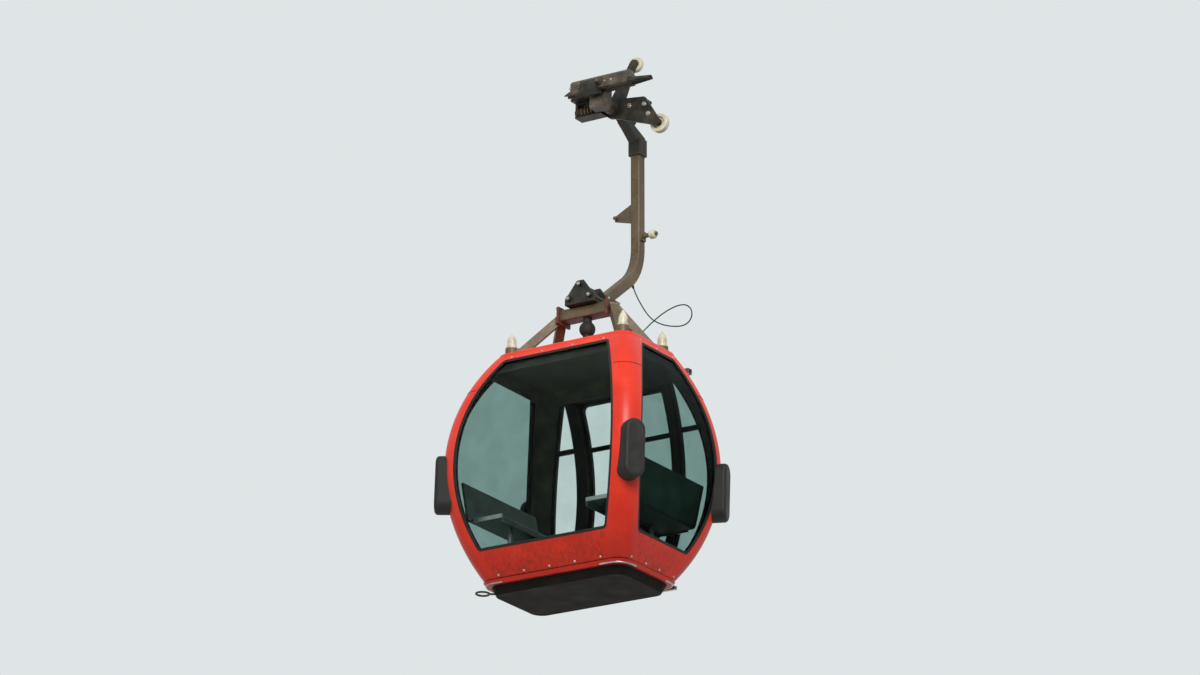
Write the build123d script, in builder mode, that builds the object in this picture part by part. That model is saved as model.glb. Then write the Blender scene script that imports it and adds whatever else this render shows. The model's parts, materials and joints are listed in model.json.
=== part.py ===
from build123d import *
import os
from math import cos, pi, radians, sin, sqrt, tan

os.makedirs("parts", exist_ok=True)

# A small cable car cabin with its hanger and rope grip, in millimetres.
# The origin is on the haul rope's axis inside the grip. X runs along the rope and is the cabin's length,
# +Y is the side of the hanger and the sliding doors, and Z is up.

# Driving sizes of the cabin's red body
cabin_drop = 3115           # from the rope's axis down to the middle of the red body
body_height = 1800
top_half_length = 630
wide_half_length = 873      # at the middle, where the body is widest
bottom_half_length = 630
top_half_width = 374
wide_half_width = 666
bottom_half_width = 352
corner_radius = 140
wall = 40
pillar_width = 150          # face of a corner pillar on either side of its corner
lip_height = 38
lip_step = 12
lip_groove = 9              # height of the groove between the lip and the sills
gasket_width = 22
gasket_outset = 4           # depth of a gasket's outer face below the body's face
gasket_depth = 28
glass_outset = 12
glass = 5

# Levels, counted from the middle of the body
half_height = body_height / 2
cap_joint = half_height - 300           # joint between pillar and top frame
window_top = half_height - 38
window_bottom = 225 - half_height
window_corner = 45

# Roof, ceiling and floor
roof_rise = 40
roof_taper = 25
roof_skin = 4
roof_edge_radius = 24
ceiling_skin = 12
ceiling_level = window_top - ceiling_skin
floor_thickness = 22
pan_depth = 65
pan_taper = 30
pan_inset = 10
pan_skin = 6

# Doors
post_width = 80
side_light = 253            # from a corner pillar to the post, at the widest level
doorway_half = wide_half_length - pillar_width - side_light - post_width
doorway_top = half_height - 140
leaf_gap = 14               # between the body's face and a leaf
leaf_thickness = 30
leaf_overlap = 35
meeting_gap = 5
leaf_top = doorway_top + 52
leaf_bottom = 50 - half_height
stile = 55
leaf_window_top = leaf_top - 67
leaf_window_bottom = leaf_bottom + 210
rail_level = doorway_top - 330          # middle of the cross rail in the door-side windows
rail_height = 32
kick_skin = 3
door_travel = doorway_half - 10         # each leaf, along X from shut

# Hanger
pivot_drop = 60             # pivot axle's axis below the rope
axle_radius = 30
axle_clearance = 0.05
tube_side = 85
tube_corner = 14
tube_wall = 8
tube_top = (603, -270)      # Y and Z of the tube's centre line
tube_knee = (655, -1290)
hub_centre = (0, -1830)
tube_bend_radius = 400

# Suspension between hanger and roof
beam_half_length = 215
beam_width = 120
beam_height = 90
flange = 20
cap_x = 510
cap_y = 266
cap_radius = 40
cap_height = 105
cap_base = 22
arm_thickness = 60          # of the spider's feet

# Grip
rope_diameter = 40
wheel_radius = 76
wheel_width = 46
wheel_place = (410, 300, -245)
coupling_roller_radius = 60
coupling_roller_width = 38
coupling_roller_place = (170, 300, 295)

mid_z = -cabin_drop
body_top = mid_z + half_height
body_bottom = mid_z - half_height
lip_top = body_bottom + lip_height
rope_radius = rope_diameter / 2
beyond = 120                # how far working shapes run past what they cut
reach = wide_half_length + beyond

# The two pairs of faces: sketch plane, then half sizes at the top, the middle and the bottom
length_face = (Plane.XZ, top_half_length, wide_half_length, bottom_half_length)
width_face = (Plane.YZ, top_half_width, wide_half_width, bottom_half_width)


def box_between(x_span, y_span, z_span, mode=Mode.ADD):
    """A box given by its lowest and highest value along each axis."""
    spans = (x_span, y_span, z_span)
    middle = tuple((low + high) / 2 for low, high in spans)
    with Locations(middle):
        Box(*(high - low for low, high in spans), mode=mode)


def half_at(face, level, inset=0):
    """Half size of a face at a level from the middle. Each flank is an arc that is upright at the middle."""
    plane, half_top, half_wide, half_bottom = face
    step = half_wide - (half_top if level > 0 else half_bottom)
    flank_radius = (half_height**2 + step**2) / (2 * step)
    return half_wide - flank_radius + sqrt((flank_radius - inset) ** 2 - level**2)


def face_outline(face, inset=0, levels=None, margin=0):
    """A profile of the body: four arcs between a flat top and bottom, moved inwards by inset.
    With levels it is a window opening between those two heights, moved inwards again by margin."""
    far = half_height + beyond
    with BuildSketch(face[0]) as outline:
        with BuildLine():
            for side in (1, -1):
                for end in (far, -far):
                    flank = [(side * half_at(face, level, inset), mid_z + level) for level in (0, end / 2, end)]
                    ThreePointArc(*flank)
            for end in (far, -far):
                half = half_at(face, end, inset)
                Line((-half, mid_z + end), (half, mid_z + end))
        make_face()
        if levels:
            low, high = levels
            with Locations((0, mid_z + (low + high) / 2)):
                Rectangle(4 * face[2], high - low, mode=Mode.INTERSECT)
            fillet(outline.vertices().group_by(Axis.Y)[0], window_corner)
            fillet(outline.vertices().group_by(Axis.Y)[-1], window_corner)
        if margin:
            offset(amount=-margin)
    return outline.sketch


def barrel(inset):
    """The body's outer form moved inwards by inset: both profiles crossed, with rounded corners."""
    with BuildPart() as form:
        extrude(face_outline(length_face, inset), amount=reach, both=True)
        extrude(face_outline(width_face, inset), amount=reach, both=True, mode=Mode.INTERSECT)
        upright = form.edges().filter_by(
            lambda edge: abs(edge.center().X) > 200 and abs(edge.center().Y) > 200
            and abs(edge.tangent_at(0.5).Z) > 0.5
        )
        fillet(upright, corner_radius - inset)
    return form.part


def layer(outer_inset, inner_inset):
    """The space between two insets of the body's form."""
    with BuildPart() as skin:
        add(barrel(outer_inset))
        add(barrel(inner_inset), mode=Mode.SUBTRACT)
    return skin.part


def save(part, name):
    part.label = name
    export_step(part, f"parts/{name}.step")


# Shapes that several pieces are cut from
wall_form = layer(0, wall)
gasket_form = layer(gasket_outset, gasket_outset + gasket_depth)
glass_form = layer(glass_outset, glass_outset + glass)
window_levels = (window_bottom, window_top)
side_opening = face_outline(length_face, pillar_width, window_levels)
side_sight = face_outline(length_face, pillar_width, window_levels, gasket_width)
end_opening = face_outline(width_face, pillar_width, window_levels)
end_sight = face_outline(width_face, pillar_width, window_levels, gasket_width)
portal_half = doorway_half + post_width

with BuildPart() as cut_wall:
    add(wall_form)
    extrude(side_opening, amount=reach, both=True, mode=Mode.SUBTRACT)
    extrude(end_opening, amount=reach, both=True, mode=Mode.SUBTRACT)
    box_between((-portal_half, portal_half), (0, reach), (lip_top, mid_z + window_top), Mode.SUBTRACT)

# Top frame: the thin red header ring with its four corner legs
with BuildPart() as top_frame:
    add(cut_wall.part)
    box_between((-reach, reach), (-reach, reach), (mid_z + cap_joint, body_top), Mode.INTERSECT)
save(top_frame.part, "top_frame")

# Corner pillars: name, side along X, side along Y
pillar_table = (
    ("pillar_front_right", 1, -1),
    ("pillar_rear_right", -1, -1),
    ("pillar_front_left", 1, 1),
    ("pillar_rear_left", -1, 1),
)
with BuildPart() as pillars:
    add(cut_wall.part)
    box_between((-reach, reach), (-reach, reach), (lip_top, mid_z + cap_joint), Mode.INTERSECT)
    extrude(face_outline(length_face, pillar_width), amount=reach, both=True, mode=Mode.SUBTRACT)
    extrude(face_outline(width_face, pillar_width), amount=reach, both=True, mode=Mode.SUBTRACT)
for name, side_x, side_y in pillar_table:
    with BuildPart() as pillar:
        add(pillars.part)
        x_span = sorted((0, side_x * reach))
        y_span = sorted((0, side_y * reach))
        box_between(x_span, y_span, (lip_top, mid_z + cap_joint), Mode.INTERSECT)
    save(pillar.part, name)

# Sills below the windows, between the pillars: name, face, X span, Y span
sill_table = (
    ("sill_right", length_face, (-reach, reach), (-reach, 0)),
    ("sill_left", length_face, (-reach, reach), (0, reach)),
    ("sill_front", width_face, (0, reach), (-reach, reach)),
    ("sill_rear", width_face, (-reach, 0), (-reach, reach)),
)
for name, face, x_span, y_span in sill_table:
    with BuildPart() as sill:
        add(cut_wall.part)
        extrude(face_outline(face, pillar_width), amount=reach, both=True, mode=Mode.INTERSECT)
        box_between(x_span, y_span, (lip_top, mid_z), Mode.INTERSECT)
    save(sill.part, name)

# Bottom lip: the ring that closes the body below the sills, a ledge with a groove above it
with BuildPart() as bottom_lip:
    add(layer(-lip_step, wall))
    box_between((-reach, reach), (-reach, reach), (body_bottom, lip_top), Mode.INTERSECT)
    with BuildPart(mode=Mode.PRIVATE) as groove:
        add(layer(-2 * lip_step, lip_step))
        box_between((-reach, reach), (-reach, reach), (lip_top - lip_groove, lip_top), Mode.INTERSECT)
    add(groove.part, mode=Mode.SUBTRACT)
save(bottom_lip.part, "bottom_lip")

# Floor deck, and the dark tapered pan below it
with BuildPart() as floor_deck:
    add(barrel(wall))
    box_between((-reach, reach), (-reach, reach), (lip_top, lip_top + floor_thickness), Mode.INTERSECT)
save(floor_deck.part, "floor_deck")

with BuildPart() as floor_pan:
    for skin, mode in ((0, Mode.ADD), (pan_skin, Mode.SUBTRACT)):
        with BuildSketch(Plane.XY.offset(body_bottom)):
            half_x = bottom_half_length - pan_inset - skin
            half_y = bottom_half_width - pan_inset - skin
            RectangleRounded(2 * half_x, 2 * half_y, corner_radius - pan_inset)
        extrude(amount=-(pan_depth - skin), taper=pan_taper, mode=mode)
save(floor_pan.part, "floor_pan")

# Roof: a shallow hollow lid with a rounded edge
with BuildPart() as roof_panel:
    with BuildSketch(Plane.XY.offset(body_top)):
        RectangleRounded(2 * top_half_length, 2 * top_half_width, corner_radius)
    extrude(amount=roof_rise, taper=roof_taper)
    fillet(roof_panel.faces().sort_by(Axis.Z)[-1].edges(), roof_edge_radius)
    with BuildSketch(Plane.XY.offset(body_top)):
        inner_x = top_half_length - roof_edge_radius
        inner_y = top_half_width - roof_edge_radius
        RectangleRounded(2 * inner_x, 2 * inner_y, corner_radius - roof_edge_radius)
    extrude(amount=roof_rise - roof_skin, taper=roof_taper, mode=Mode.SUBTRACT)
save(roof_panel.part, "roof_panel")
roof_top = body_top + roof_rise

# Ceiling: a dark lining whose rim comes down to the doorway's head
with BuildPart() as ceiling:
    add(barrel(wall))
    upper = mid_z + ceiling_level + ceiling_skin
    box_between((-reach, reach), (-reach, reach), (mid_z + doorway_top, upper), Mode.INTERSECT)
    with BuildPart(mode=Mode.PRIVATE) as ceiling_hollow:
        add(barrel(wall + ceiling_skin))
        hollow_span = (mid_z + doorway_top, mid_z + ceiling_level)
        box_between((-reach, reach), (-reach, reach), hollow_span, Mode.INTERSECT)
    add(ceiling_hollow.part, mode=Mode.SUBTRACT)
save(ceiling.part, "ceiling")

# Glazing: each opening holds a rubber gasket ring and, inside it, a pane
with BuildPart() as side_light_openings:
    extrude(side_opening, amount=-reach)
    box_between((-portal_half, portal_half), (0, reach), (body_bottom, body_top), Mode.SUBTRACT)

with BuildPart() as side_light_sights:
    extrude(side_sight, amount=-reach)
    inner_half = portal_half + gasket_width
    box_between((-inner_half, inner_half), (0, reach), (body_bottom, body_top), Mode.SUBTRACT)

# Gasket rings: opening, sight, and how far each reaches along its face's normal
ring_table = (
    (side_opening, side_sight, reach),
    (end_opening, end_sight, reach),
    (end_opening, end_sight, -reach),
)
with BuildPart() as window_gaskets:
    for opening, sight, amount in ring_table:
        with BuildPart(mode=Mode.PRIVATE) as ring:
            extrude(opening, amount=amount)
            extrude(sight, amount=amount, mode=Mode.SUBTRACT)
            add(gasket_form, mode=Mode.INTERSECT)
        add(ring.part)
    with BuildPart(mode=Mode.PRIVATE) as side_rings:
        add(side_light_openings.part)
        add(side_light_sights.part, mode=Mode.SUBTRACT)
        add(gasket_form, mode=Mode.INTERSECT)
    add(side_rings.part)
save(window_gaskets.part, "window_gaskets")

with BuildPart() as window_right:
    add(glass_form)
    extrude(side_sight, amount=reach, mode=Mode.INTERSECT)
save(window_right.part, "window_right")

with BuildPart() as side_panes:
    add(glass_form)
    add(side_light_sights.part, mode=Mode.INTERSECT)
save(side_panes.part, "side_panes")

for name, side in (("window_front", 1), ("window_rear", -1)):
    with BuildPart() as end_pane:
        add(glass_form)
        extrude(end_sight, amount=side * reach, mode=Mode.INTERSECT)
    save(end_pane.part, name)

# Door frame: posts, head and threshold around the doorway
with BuildPart() as door_frame:
    add(wall_form)
    portal_span = (-portal_half, portal_half)
    box_between(portal_span, (0, reach), (lip_top, mid_z + window_top), Mode.INTERSECT)
    with BuildSketch(Plane.XZ):
        doorway_bottom = lip_top + floor_thickness
        doorway_height = mid_z + doorway_top - doorway_bottom
        with Locations((0, doorway_bottom + doorway_height / 2)):
            Rectangle(2 * doorway_half, doorway_height)
    extrude(amount=-reach, mode=Mode.SUBTRACT)
save(door_frame.part, "door_frame")

# Cross rails inside the small side lights, level with the rails in the door leaves
with BuildPart() as side_rails:
    add(layer(glass_outset + glass, wall))
    add(side_light_sights.part, mode=Mode.INTERSECT)
    rail_span = (mid_z + rail_level - rail_height / 2, mid_z + rail_level + rail_height / 2)
    box_between((-reach, reach), (0, reach), rail_span, Mode.INTERSECT)
save(side_rails.part, "side_rails")

# Door leaves, hung from the upper rail and guided by shoes in the lower one
rail_wall = 4
rail_inner_half = 21
rail_slot_half = 9
stem_half = 4
stem_width = 44
carrier_radius = 13
carrier_half = 16
seat_gap = 0.3              # what rests on another body stands this far off it
carrier_places = (70, doorway_half - 160)
shoe_places = (80, doorway_half - 210)
upper_rail_bottom = mid_z + leaf_top + 10
upper_rail_height = 44
rail_end_margin = 8
upper_rail_half = carrier_places[-1] + stem_width / 2 + door_travel + rail_end_margin
upper_rail_y = half_at(width_face, leaf_top) + leaf_gap + leaf_thickness / 2
lower_rail_top = mid_z + leaf_bottom - 15
lower_rail_height = 28
lower_rail_half = shoe_places[-1] + stem_width / 2 + door_travel + rail_end_margin
lower_rail_y = half_at(width_face, leaf_bottom) + leaf_gap + leaf_thickness / 2
shoe_drop = 30
leaf_x = (meeting_gap / 2, doorway_half + leaf_overlap)
leaf_z = (mid_z + leaf_bottom, mid_z + leaf_top)


def leaf_slice(outer, inner, x_span, z_span):
    """A strip that follows the door side's face, between two distances outside it."""
    with BuildPart() as strip:
        extrude(face_outline(width_face, -outer), amount=reach, both=True)
        extrude(face_outline(width_face, -inner), amount=reach, both=True, mode=Mode.SUBTRACT)
        box_between(x_span, (0, reach), z_span, Mode.INTERSECT)
    return strip.part


leaf_back = leaf_gap
leaf_face = leaf_gap + leaf_thickness
sight_x = (leaf_x[0] + stile, leaf_x[1] - stile)
sight_z = (mid_z + leaf_window_bottom, mid_z + leaf_window_top)

with BuildPart() as leaf_sight:
    with BuildSketch(Plane.XZ):
        with Locations((sum(sight_x) / 2, sum(sight_z) / 2)):
            RectangleRounded(sight_x[1] - sight_x[0], sight_z[1] - sight_z[0], window_corner)
    extrude(amount=-reach)

with BuildPart() as door_leaf:
    add(leaf_slice(leaf_face, leaf_back, leaf_x, leaf_z))
    add(leaf_sight.part, mode=Mode.SUBTRACT)
    add(leaf_slice(leaf_back + leaf_thickness / 2, leaf_back, sight_x, rail_span))
    for x in carrier_places:
        stem_top = upper_rail_bottom + rail_wall + seat_gap + 2 * carrier_radius
        stem_x = (x - stem_width / 2, x + stem_width / 2)
        stem_y = (upper_rail_y - stem_half, upper_rail_y + stem_half)
        box_between(stem_x, stem_y, (leaf_z[1] - 1, stem_top))
        with Locations((x, upper_rail_y, stem_top - carrier_radius)):
            Cylinder(carrier_radius, 2 * carrier_half, rotation=(90, 0, 0))
    for x in shoe_places:
        shoe_x = (x - stem_width / 2, x + stem_width / 2)
        shoe_y = (lower_rail_y - stem_half, lower_rail_y + stem_half)
        box_between(shoe_x, shoe_y, (leaf_z[0] - shoe_drop, leaf_z[0] + 1))

pane_inset = 8              # of the pane's outer face, below the leaf's
with BuildPart() as leaf_pane:
    add(leaf_slice(leaf_face - pane_inset, leaf_face - pane_inset - glass, leaf_x, leaf_z))
    add(leaf_sight.part, mode=Mode.INTERSECT)

kick_margin = 16
with BuildPart() as leaf_kick:
    kick_x = (leaf_x[0] + kick_margin, leaf_x[1] - kick_margin)
    kick_z = (leaf_z[0] + kick_margin, sight_z[0] - kick_margin)
    add(leaf_slice(leaf_face + kick_skin, leaf_face, kick_x, kick_z))

for piece, name in ((door_leaf, "door_leaf"), (leaf_pane, "door_pane"), (leaf_kick, "door_kick")):
    save(piece.part, name + "_front")
    with BuildPart() as other_hand:
        add(piece.part.mirror(Plane.YZ))
    save(other_hand.part, name + "_rear")

# Upper rail: a box channel with a slot below, on brackets from the body
bracket_half = 15
bracket_shares = (-0.7, -0.24, 0.24, 0.7)       # of a rail's half length
with BuildPart() as door_rail_upper:
    outer_half = rail_inner_half + rail_wall
    low, high = upper_rail_bottom, upper_rail_bottom + upper_rail_height
    x_span = (-upper_rail_half, upper_rail_half)
    for share in bracket_shares:
        x = share * upper_rail_half
        x_bracket = (x - bracket_half, x + bracket_half)
        box_between(x_bracket, (top_half_width / 2, upper_rail_y), (low + rail_wall, high))
    add(barrel(0), mode=Mode.SUBTRACT)
    box_between(x_span, (upper_rail_y - outer_half, upper_rail_y + outer_half), (low, high))
    inner_y = (upper_rail_y - rail_inner_half, upper_rail_y + rail_inner_half)
    box_between(x_span, inner_y, (low + rail_wall, high - rail_wall), Mode.SUBTRACT)
    slot_y = (upper_rail_y - rail_slot_half, upper_rail_y + rail_slot_half)
    box_between(x_span, slot_y, (low, low + rail_wall), Mode.SUBTRACT)
save(door_rail_upper.part, "door_rail_upper")

# Lower rail: a channel open upwards, on brackets from the bottom lip
with BuildPart() as door_rail_lower:
    outer_half = rail_slot_half + rail_wall
    low, high = lower_rail_top - lower_rail_height, lower_rail_top
    x_span = (-lower_rail_half, lower_rail_half)
    for share in bracket_shares:
        x = share * lower_rail_half
        x_bracket = (x - bracket_half, x + bracket_half)
        box_between(x_bracket, (bottom_half_width / 2, lower_rail_y), (low, high - rail_wall))
    add(barrel(-lip_step), mode=Mode.SUBTRACT)
    box_between(x_span, (lower_rail_y - outer_half, lower_rail_y + outer_half), (low, high))
    slot_y = (lower_rail_y - rail_slot_half, lower_rail_y + rail_slot_half)
    box_between(x_span, slot_y, (low + rail_wall, high), Mode.SUBTRACT)
save(door_rail_lower.part, "door_rail_lower")

# Four upright rubber bumpers on the rounded corners: side along X, side along Y, degrees from the end face.
# Those beside the doors are turned less, so that the open leaves clear them.
bumper_height = 460
bumper_width = 170
bumper_depth = 62           # beyond the corner's rounding at the middle
bumper_edge = 28
bumper_level = -135
bumper_table = ((1, -1, 30), (-1, -1, 30), (1, 1, 20), (-1, 1, 20))
with BuildPart() as bumpers:
    for side_x, side_y, degrees in bumper_table:
        turn = radians(degrees)
        outward = Vector(side_x * cos(turn), side_y * sin(turn), 0)
        corner_x = side_x * (wide_half_length - corner_radius)
        corner_y = side_y * (wide_half_width - corner_radius)
        place = Vector(corner_x, corner_y, mid_z + bumper_level)
        with BuildPart(mode=Mode.PRIVATE) as pad:
            with BuildSketch(Plane(origin=place, x_dir=(0, 0, 1), z_dir=outward)):
                SlotOverall(bumper_height, bumper_width)
            extrude(amount=corner_radius + bumper_depth)
            fillet(pad.faces().sort_by(Axis(place, outward))[-1].edges(), bumper_edge)
        add(pad.part)
    add(barrel(0), mode=Mode.SUBTRACT)
save(bumpers.part, "bumpers")

# Two facing benches, each one moulding of seat and back on legs with side trims
bench_front_edge = doorway_half - 10
seat_level = 490 - half_height
back_top_level = seat_level + 315
bench_back = half_at(length_face, back_top_level) - wall - 62
bench_skin = 18
bench_half_width = half_at(width_face, seat_level) - wall - 87
back_slope = 65             # how far the back leans
seat_apron = 55
trim_thickness = 12
trim_end = bench_back - 128
leg_radius = 19
leg_x = bench_front_edge + 100
leg_y = bottom_half_width - 117
for name, side in (("bench_front", 1), ("bench_rear", -1)):
    with BuildPart() as bench:
        with BuildSketch(Plane.XZ):
            with BuildLine() as bench_line:
                FilletPolyline(
                    (side * bench_front_edge, mid_z + seat_level - seat_apron),
                    (side * bench_front_edge, mid_z + seat_level),
                    (side * (bench_back - back_slope), mid_z + seat_level),
                    (side * bench_back, mid_z + back_top_level), radius=30,
                )
            trace(line_width=bench_skin)
        extrude(amount=bench_half_width, both=True)
    save(bench.part, name)

with BuildPart() as bench_frames:
    seat_under = mid_z + seat_level - bench_skin / 2
    deck_top = lip_top + floor_thickness
    with Locations(*[(x, y, (seat_under + deck_top) / 2) for x in (-leg_x, leg_x) for y in (-leg_y, leg_y)]):
        Cylinder(leg_radius, seat_under - deck_top)
    for side in (1, -1):
        for hand in (1, -1):
            x_span = sorted((side * bench_front_edge, side * trim_end))
            y_span = sorted((hand * bench_half_width, hand * (bench_half_width + trim_thickness)))
            z_span = (seat_under - trim_thickness, seat_under + bench_skin)
            box_between(x_span, y_span, z_span)
save(bench_frames.part, "bench_frames")

# Guide hook: a rod loop beside the pan, under the rear right corner
hook_rod = 8
hook_radius = 50
hook_place = Vector(-bottom_half_length, -bottom_half_width, body_bottom - 55)
hook_root = Vector(112 - bottom_half_length, 112 - bottom_half_width, body_bottom - 45)
with BuildPart() as guide_hook:
    stem_end = hook_place + (hook_root - hook_place).normalized() * hook_radius
    with BuildLine() as hook_line:
        Line(hook_root, stem_end)
    with BuildSketch(Plane(origin=hook_root, z_dir=stem_end - hook_root)):
        Circle(hook_rod)
    sweep(path=hook_line.line)
    with BuildSketch(Plane.XY.offset(body_bottom)):
        half_x = bottom_half_length - pan_inset
        half_y = bottom_half_width - pan_inset
        RectangleRounded(2 * half_x, 2 * half_y, corner_radius - pan_inset)
    extrude(amount=-pan_depth, taper=pan_taper, mode=Mode.SUBTRACT)
    with Locations(hook_place):
        Torus(hook_radius, hook_rod)
save(guide_hook.part, "guide_hook")

# Hanger tube and arm: one square box section, bent and then mitred where the arm is welded on
section_side = Vector(1, 0, 0)
inner_side = tube_side - 2 * tube_wall
with BuildLine(Plane.YZ) as hanger_line:
    FilletPolyline(tube_top, tube_knee, hub_centre, radius=tube_bend_radius)
hanger_edges = hanger_line.edges().sort_by(Axis.Z, reverse=True)
tube_path = Wire(hanger_edges[0:2])
tube_plane = Plane(origin=tube_path @ 0, x_dir=section_side, z_dir=tube_path % 0)
seam_plane = Plane(origin=tube_path @ 1, x_dir=section_side, z_dir=tube_path % 1)

with BuildPart() as tube_form:
    with BuildSketch(tube_plane):
        RectangleRounded(tube_side, tube_side, tube_corner)
    sweep(path=tube_path)

with BuildPart() as hanger_tube:
    add(tube_form.part)
    with BuildSketch(tube_plane):
        RectangleRounded(inner_side, inner_side, tube_corner - tube_wall)
    sweep(path=tube_path, mode=Mode.SUBTRACT)
save(hanger_tube.part, "hanger_tube")

gusset_outer = 118          # outer faces of the suspension head's two gussets
with BuildPart() as hanger_arm:
    with BuildSketch(seam_plane):
        RectangleRounded(tube_side, tube_side, tube_corner)
        RectangleRounded(inner_side, inner_side, tube_corner - tube_wall, mode=Mode.SUBTRACT)
    extrude(amount=tube_knee[0])
    arm_span = (gusset_outer, tube_knee[0] + tube_side)
    box_between((-tube_side, tube_side), arm_span, (mid_z, 0), Mode.INTERSECT)
save(hanger_arm.part, "hanger_arm")

# Hanger head: a casting from the pivot boss down to the socket round the tube's top
boss_radius = 62
boss_y = (365, 495)
head_thickness = 84
head_edge_radius = 8
head_outline = (            # Y and Z, from the boss down to the tube's top
    (374, -60), (488, -60), (488, -116), (640, -176), (658, -236), (548, -236), (440, -158), (374, -118),
)
socket_side = 112
socket_depth = 62
socket_rise = 70
boss_middle = sum(boss_y) / 2
with BuildPart() as hanger_head:
    with BuildSketch(Plane.YZ) as head_side:
        with BuildLine():
            Polyline(*head_outline, close=True)
        make_face()
        fillet(head_side.vertices(), head_edge_radius)
    extrude(amount=head_thickness / 2, both=True)
    with BuildSketch(tube_plane):
        RectangleRounded(socket_side, socket_side, tube_corner)
    extrude(amount=socket_depth)
    with BuildSketch(tube_plane):
        RectangleRounded(socket_side, socket_side, tube_corner)
    extrude(amount=-socket_rise)
    with BuildSketch(tube_plane):
        RectangleRounded(tube_side, tube_side, tube_corner)
    extrude(amount=socket_depth, mode=Mode.SUBTRACT)
    with Locations((0, boss_middle, -pivot_drop)):
        Cylinder(boss_radius, boss_y[1] - boss_y[0], rotation=(90, 0, 0))
        bore_radius = axle_radius + axle_clearance
        Cylinder(bore_radius, 2 * (boss_y[1] - boss_y[0]), rotation=(90, 0, 0), mode=Mode.SUBTRACT)
save(hanger_head.part, "hanger_head")

# Brackets on the tube: the gusset with its pin on the rear side, the roller's stem on the front side
tube_half = tube_side / 2
gusset_drop = 790
gusset_y = 628
gusset_reach = 165
gusset_height = 170
gusset_plate = 12
gusset_pin = 15
gusset_pin_length = 70
roller_foot = (14, 64, 80)  # the stem's plate on the tube
roller_radius = 36
roller_width = 50
roller_edge = 14
roller_pin = 11
roller_collar = 18
roller_nut = 16
nut_gap = 5                 # so that the roller turns freely
nut_thickness = 9
roller_place = (140, 640, -995)
with BuildPart() as tube_brackets:
    with BuildSketch(Plane.XZ.offset(-gusset_y)):
        with BuildLine():
            Polyline(
                (-tube_half, -gusset_drop + gusset_height / 2), (-tube_half, -gusset_drop - gusset_height / 2),
                (-tube_half - gusset_reach, -gusset_drop - gusset_height / 4),
                (-tube_half - gusset_reach, -gusset_drop), close=True,
            )
        make_face()
    extrude(amount=gusset_plate / 2, both=True)
    with Locations((-tube_half - gusset_reach + gusset_pin, gusset_y, -gusset_drop - gusset_height / 8)):
        Cylinder(gusset_pin, gusset_pin_length, rotation=(90, 0, 0))
    roller_x, roller_y, roller_z = roller_place
    with Locations((tube_half + roller_foot[0] / 2, roller_y, roller_z)):
        Box(*roller_foot)
    nut_start = roller_x + roller_width / 2 + nut_gap
    stem_reach = nut_start + nut_thickness
    with Locations(((tube_half + stem_reach) / 2, roller_y, roller_z)):
        Cylinder(roller_pin, stem_reach - tube_half, rotation=(0, 90, 0))
    collar_end = roller_x - roller_width / 2 - seat_gap
    with Locations(((tube_half + collar_end) / 2, roller_y, roller_z)):
        Cylinder(roller_collar, collar_end - tube_half, rotation=(0, 90, 0))
    with Locations(((nut_start + stem_reach) / 2, roller_y, roller_z)):
        Cylinder(roller_nut, nut_thickness, rotation=(0, 90, 0))
save(tube_brackets.part, "tube_brackets")

with BuildPart() as guide_roller:
    with Locations(Location(roller_place, (0, 90, 0))):
        Cylinder(roller_radius, roller_width)
        fillet(guide_roller.edges().filter_by(GeomType.CIRCLE), roller_edge)
        Cylinder(roller_pin + axle_clearance, roller_width, mode=Mode.SUBTRACT)
save(guide_roller.part, "guide_roller")

# Suspension head: a base plate with two triangular gussets, a web and their cross bolts
beam_top = hub_centre[1] + beam_height / 2
gusset_thickness = 12
base_half_length = 135
base_thickness = 12
apex_half = 30
apex_z = -1600
web_half = 30
web_drop = 40
gusset_foot = 45            # upright part of the gussets' edges
apex_bolt = 15
apex_bolt_drop = 34
base_bolt = 22
base_bolt_inset = 40
base_bolt_rise = 48
bolt_past = 20              # beyond the gussets at each end
with BuildPart() as suspension_head:
    box_between(
        (-base_half_length, base_half_length), (-gusset_outer, gusset_outer),
        (beam_top, beam_top + base_thickness),
    )
    for plate_start in (-gusset_outer, gusset_outer - gusset_thickness):
        with BuildSketch(Plane.XZ.offset(-plate_start)):
            with BuildLine():
                Polyline(
                    (-base_half_length, beam_top), (base_half_length, beam_top),
                    (base_half_length, beam_top + gusset_foot), (apex_half, apex_z), (-apex_half, apex_z),
                    (-base_half_length, beam_top + gusset_foot), close=True,
                )
            make_face()
        extrude(amount=-gusset_thickness)
    box_between((-web_half, web_half), (-gusset_outer, gusset_outer), (beam_top, apex_z - web_drop))
    bolt_length = 2 * (gusset_outer + bolt_past)
    with Locations((0, 0, apex_z - apex_bolt_drop)):
        Cylinder(apex_bolt, bolt_length, rotation=(90, 0, 0))
    bolt_x = base_half_length - base_bolt_inset
    with Locations(*[(x, 0, beam_top + base_bolt_rise) for x in (-bolt_x, bolt_x)]):
        Cylinder(base_bolt, bolt_length, rotation=(90, 0, 0))
save(suspension_head.part, "suspension_head")

# Hub beam with its end flanges, and the rubber buffer under it
beam_edge = 12
with BuildPart() as hub_beam:
    beam_bottom = beam_top - beam_height
    beam_span = (-beam_half_length, beam_half_length)
    box_between(beam_span, (-beam_width / 2, beam_width / 2), (beam_bottom, beam_top))
    fillet(hub_beam.edges().filter_by(Axis.X), beam_edge)
save(hub_beam.part, "hub_beam")

flange_margin = 22
with BuildPart() as beam_flanges:
    for side in (1, -1):
        x_span = sorted((side * beam_half_length, side * (beam_half_length + flange)))
        half_y = beam_width / 2 + flange_margin
        box_between(x_span, (-half_y, half_y), (beam_bottom - flange_margin, beam_top + flange_margin))
save(beam_flanges.part, "beam_flanges")

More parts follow.
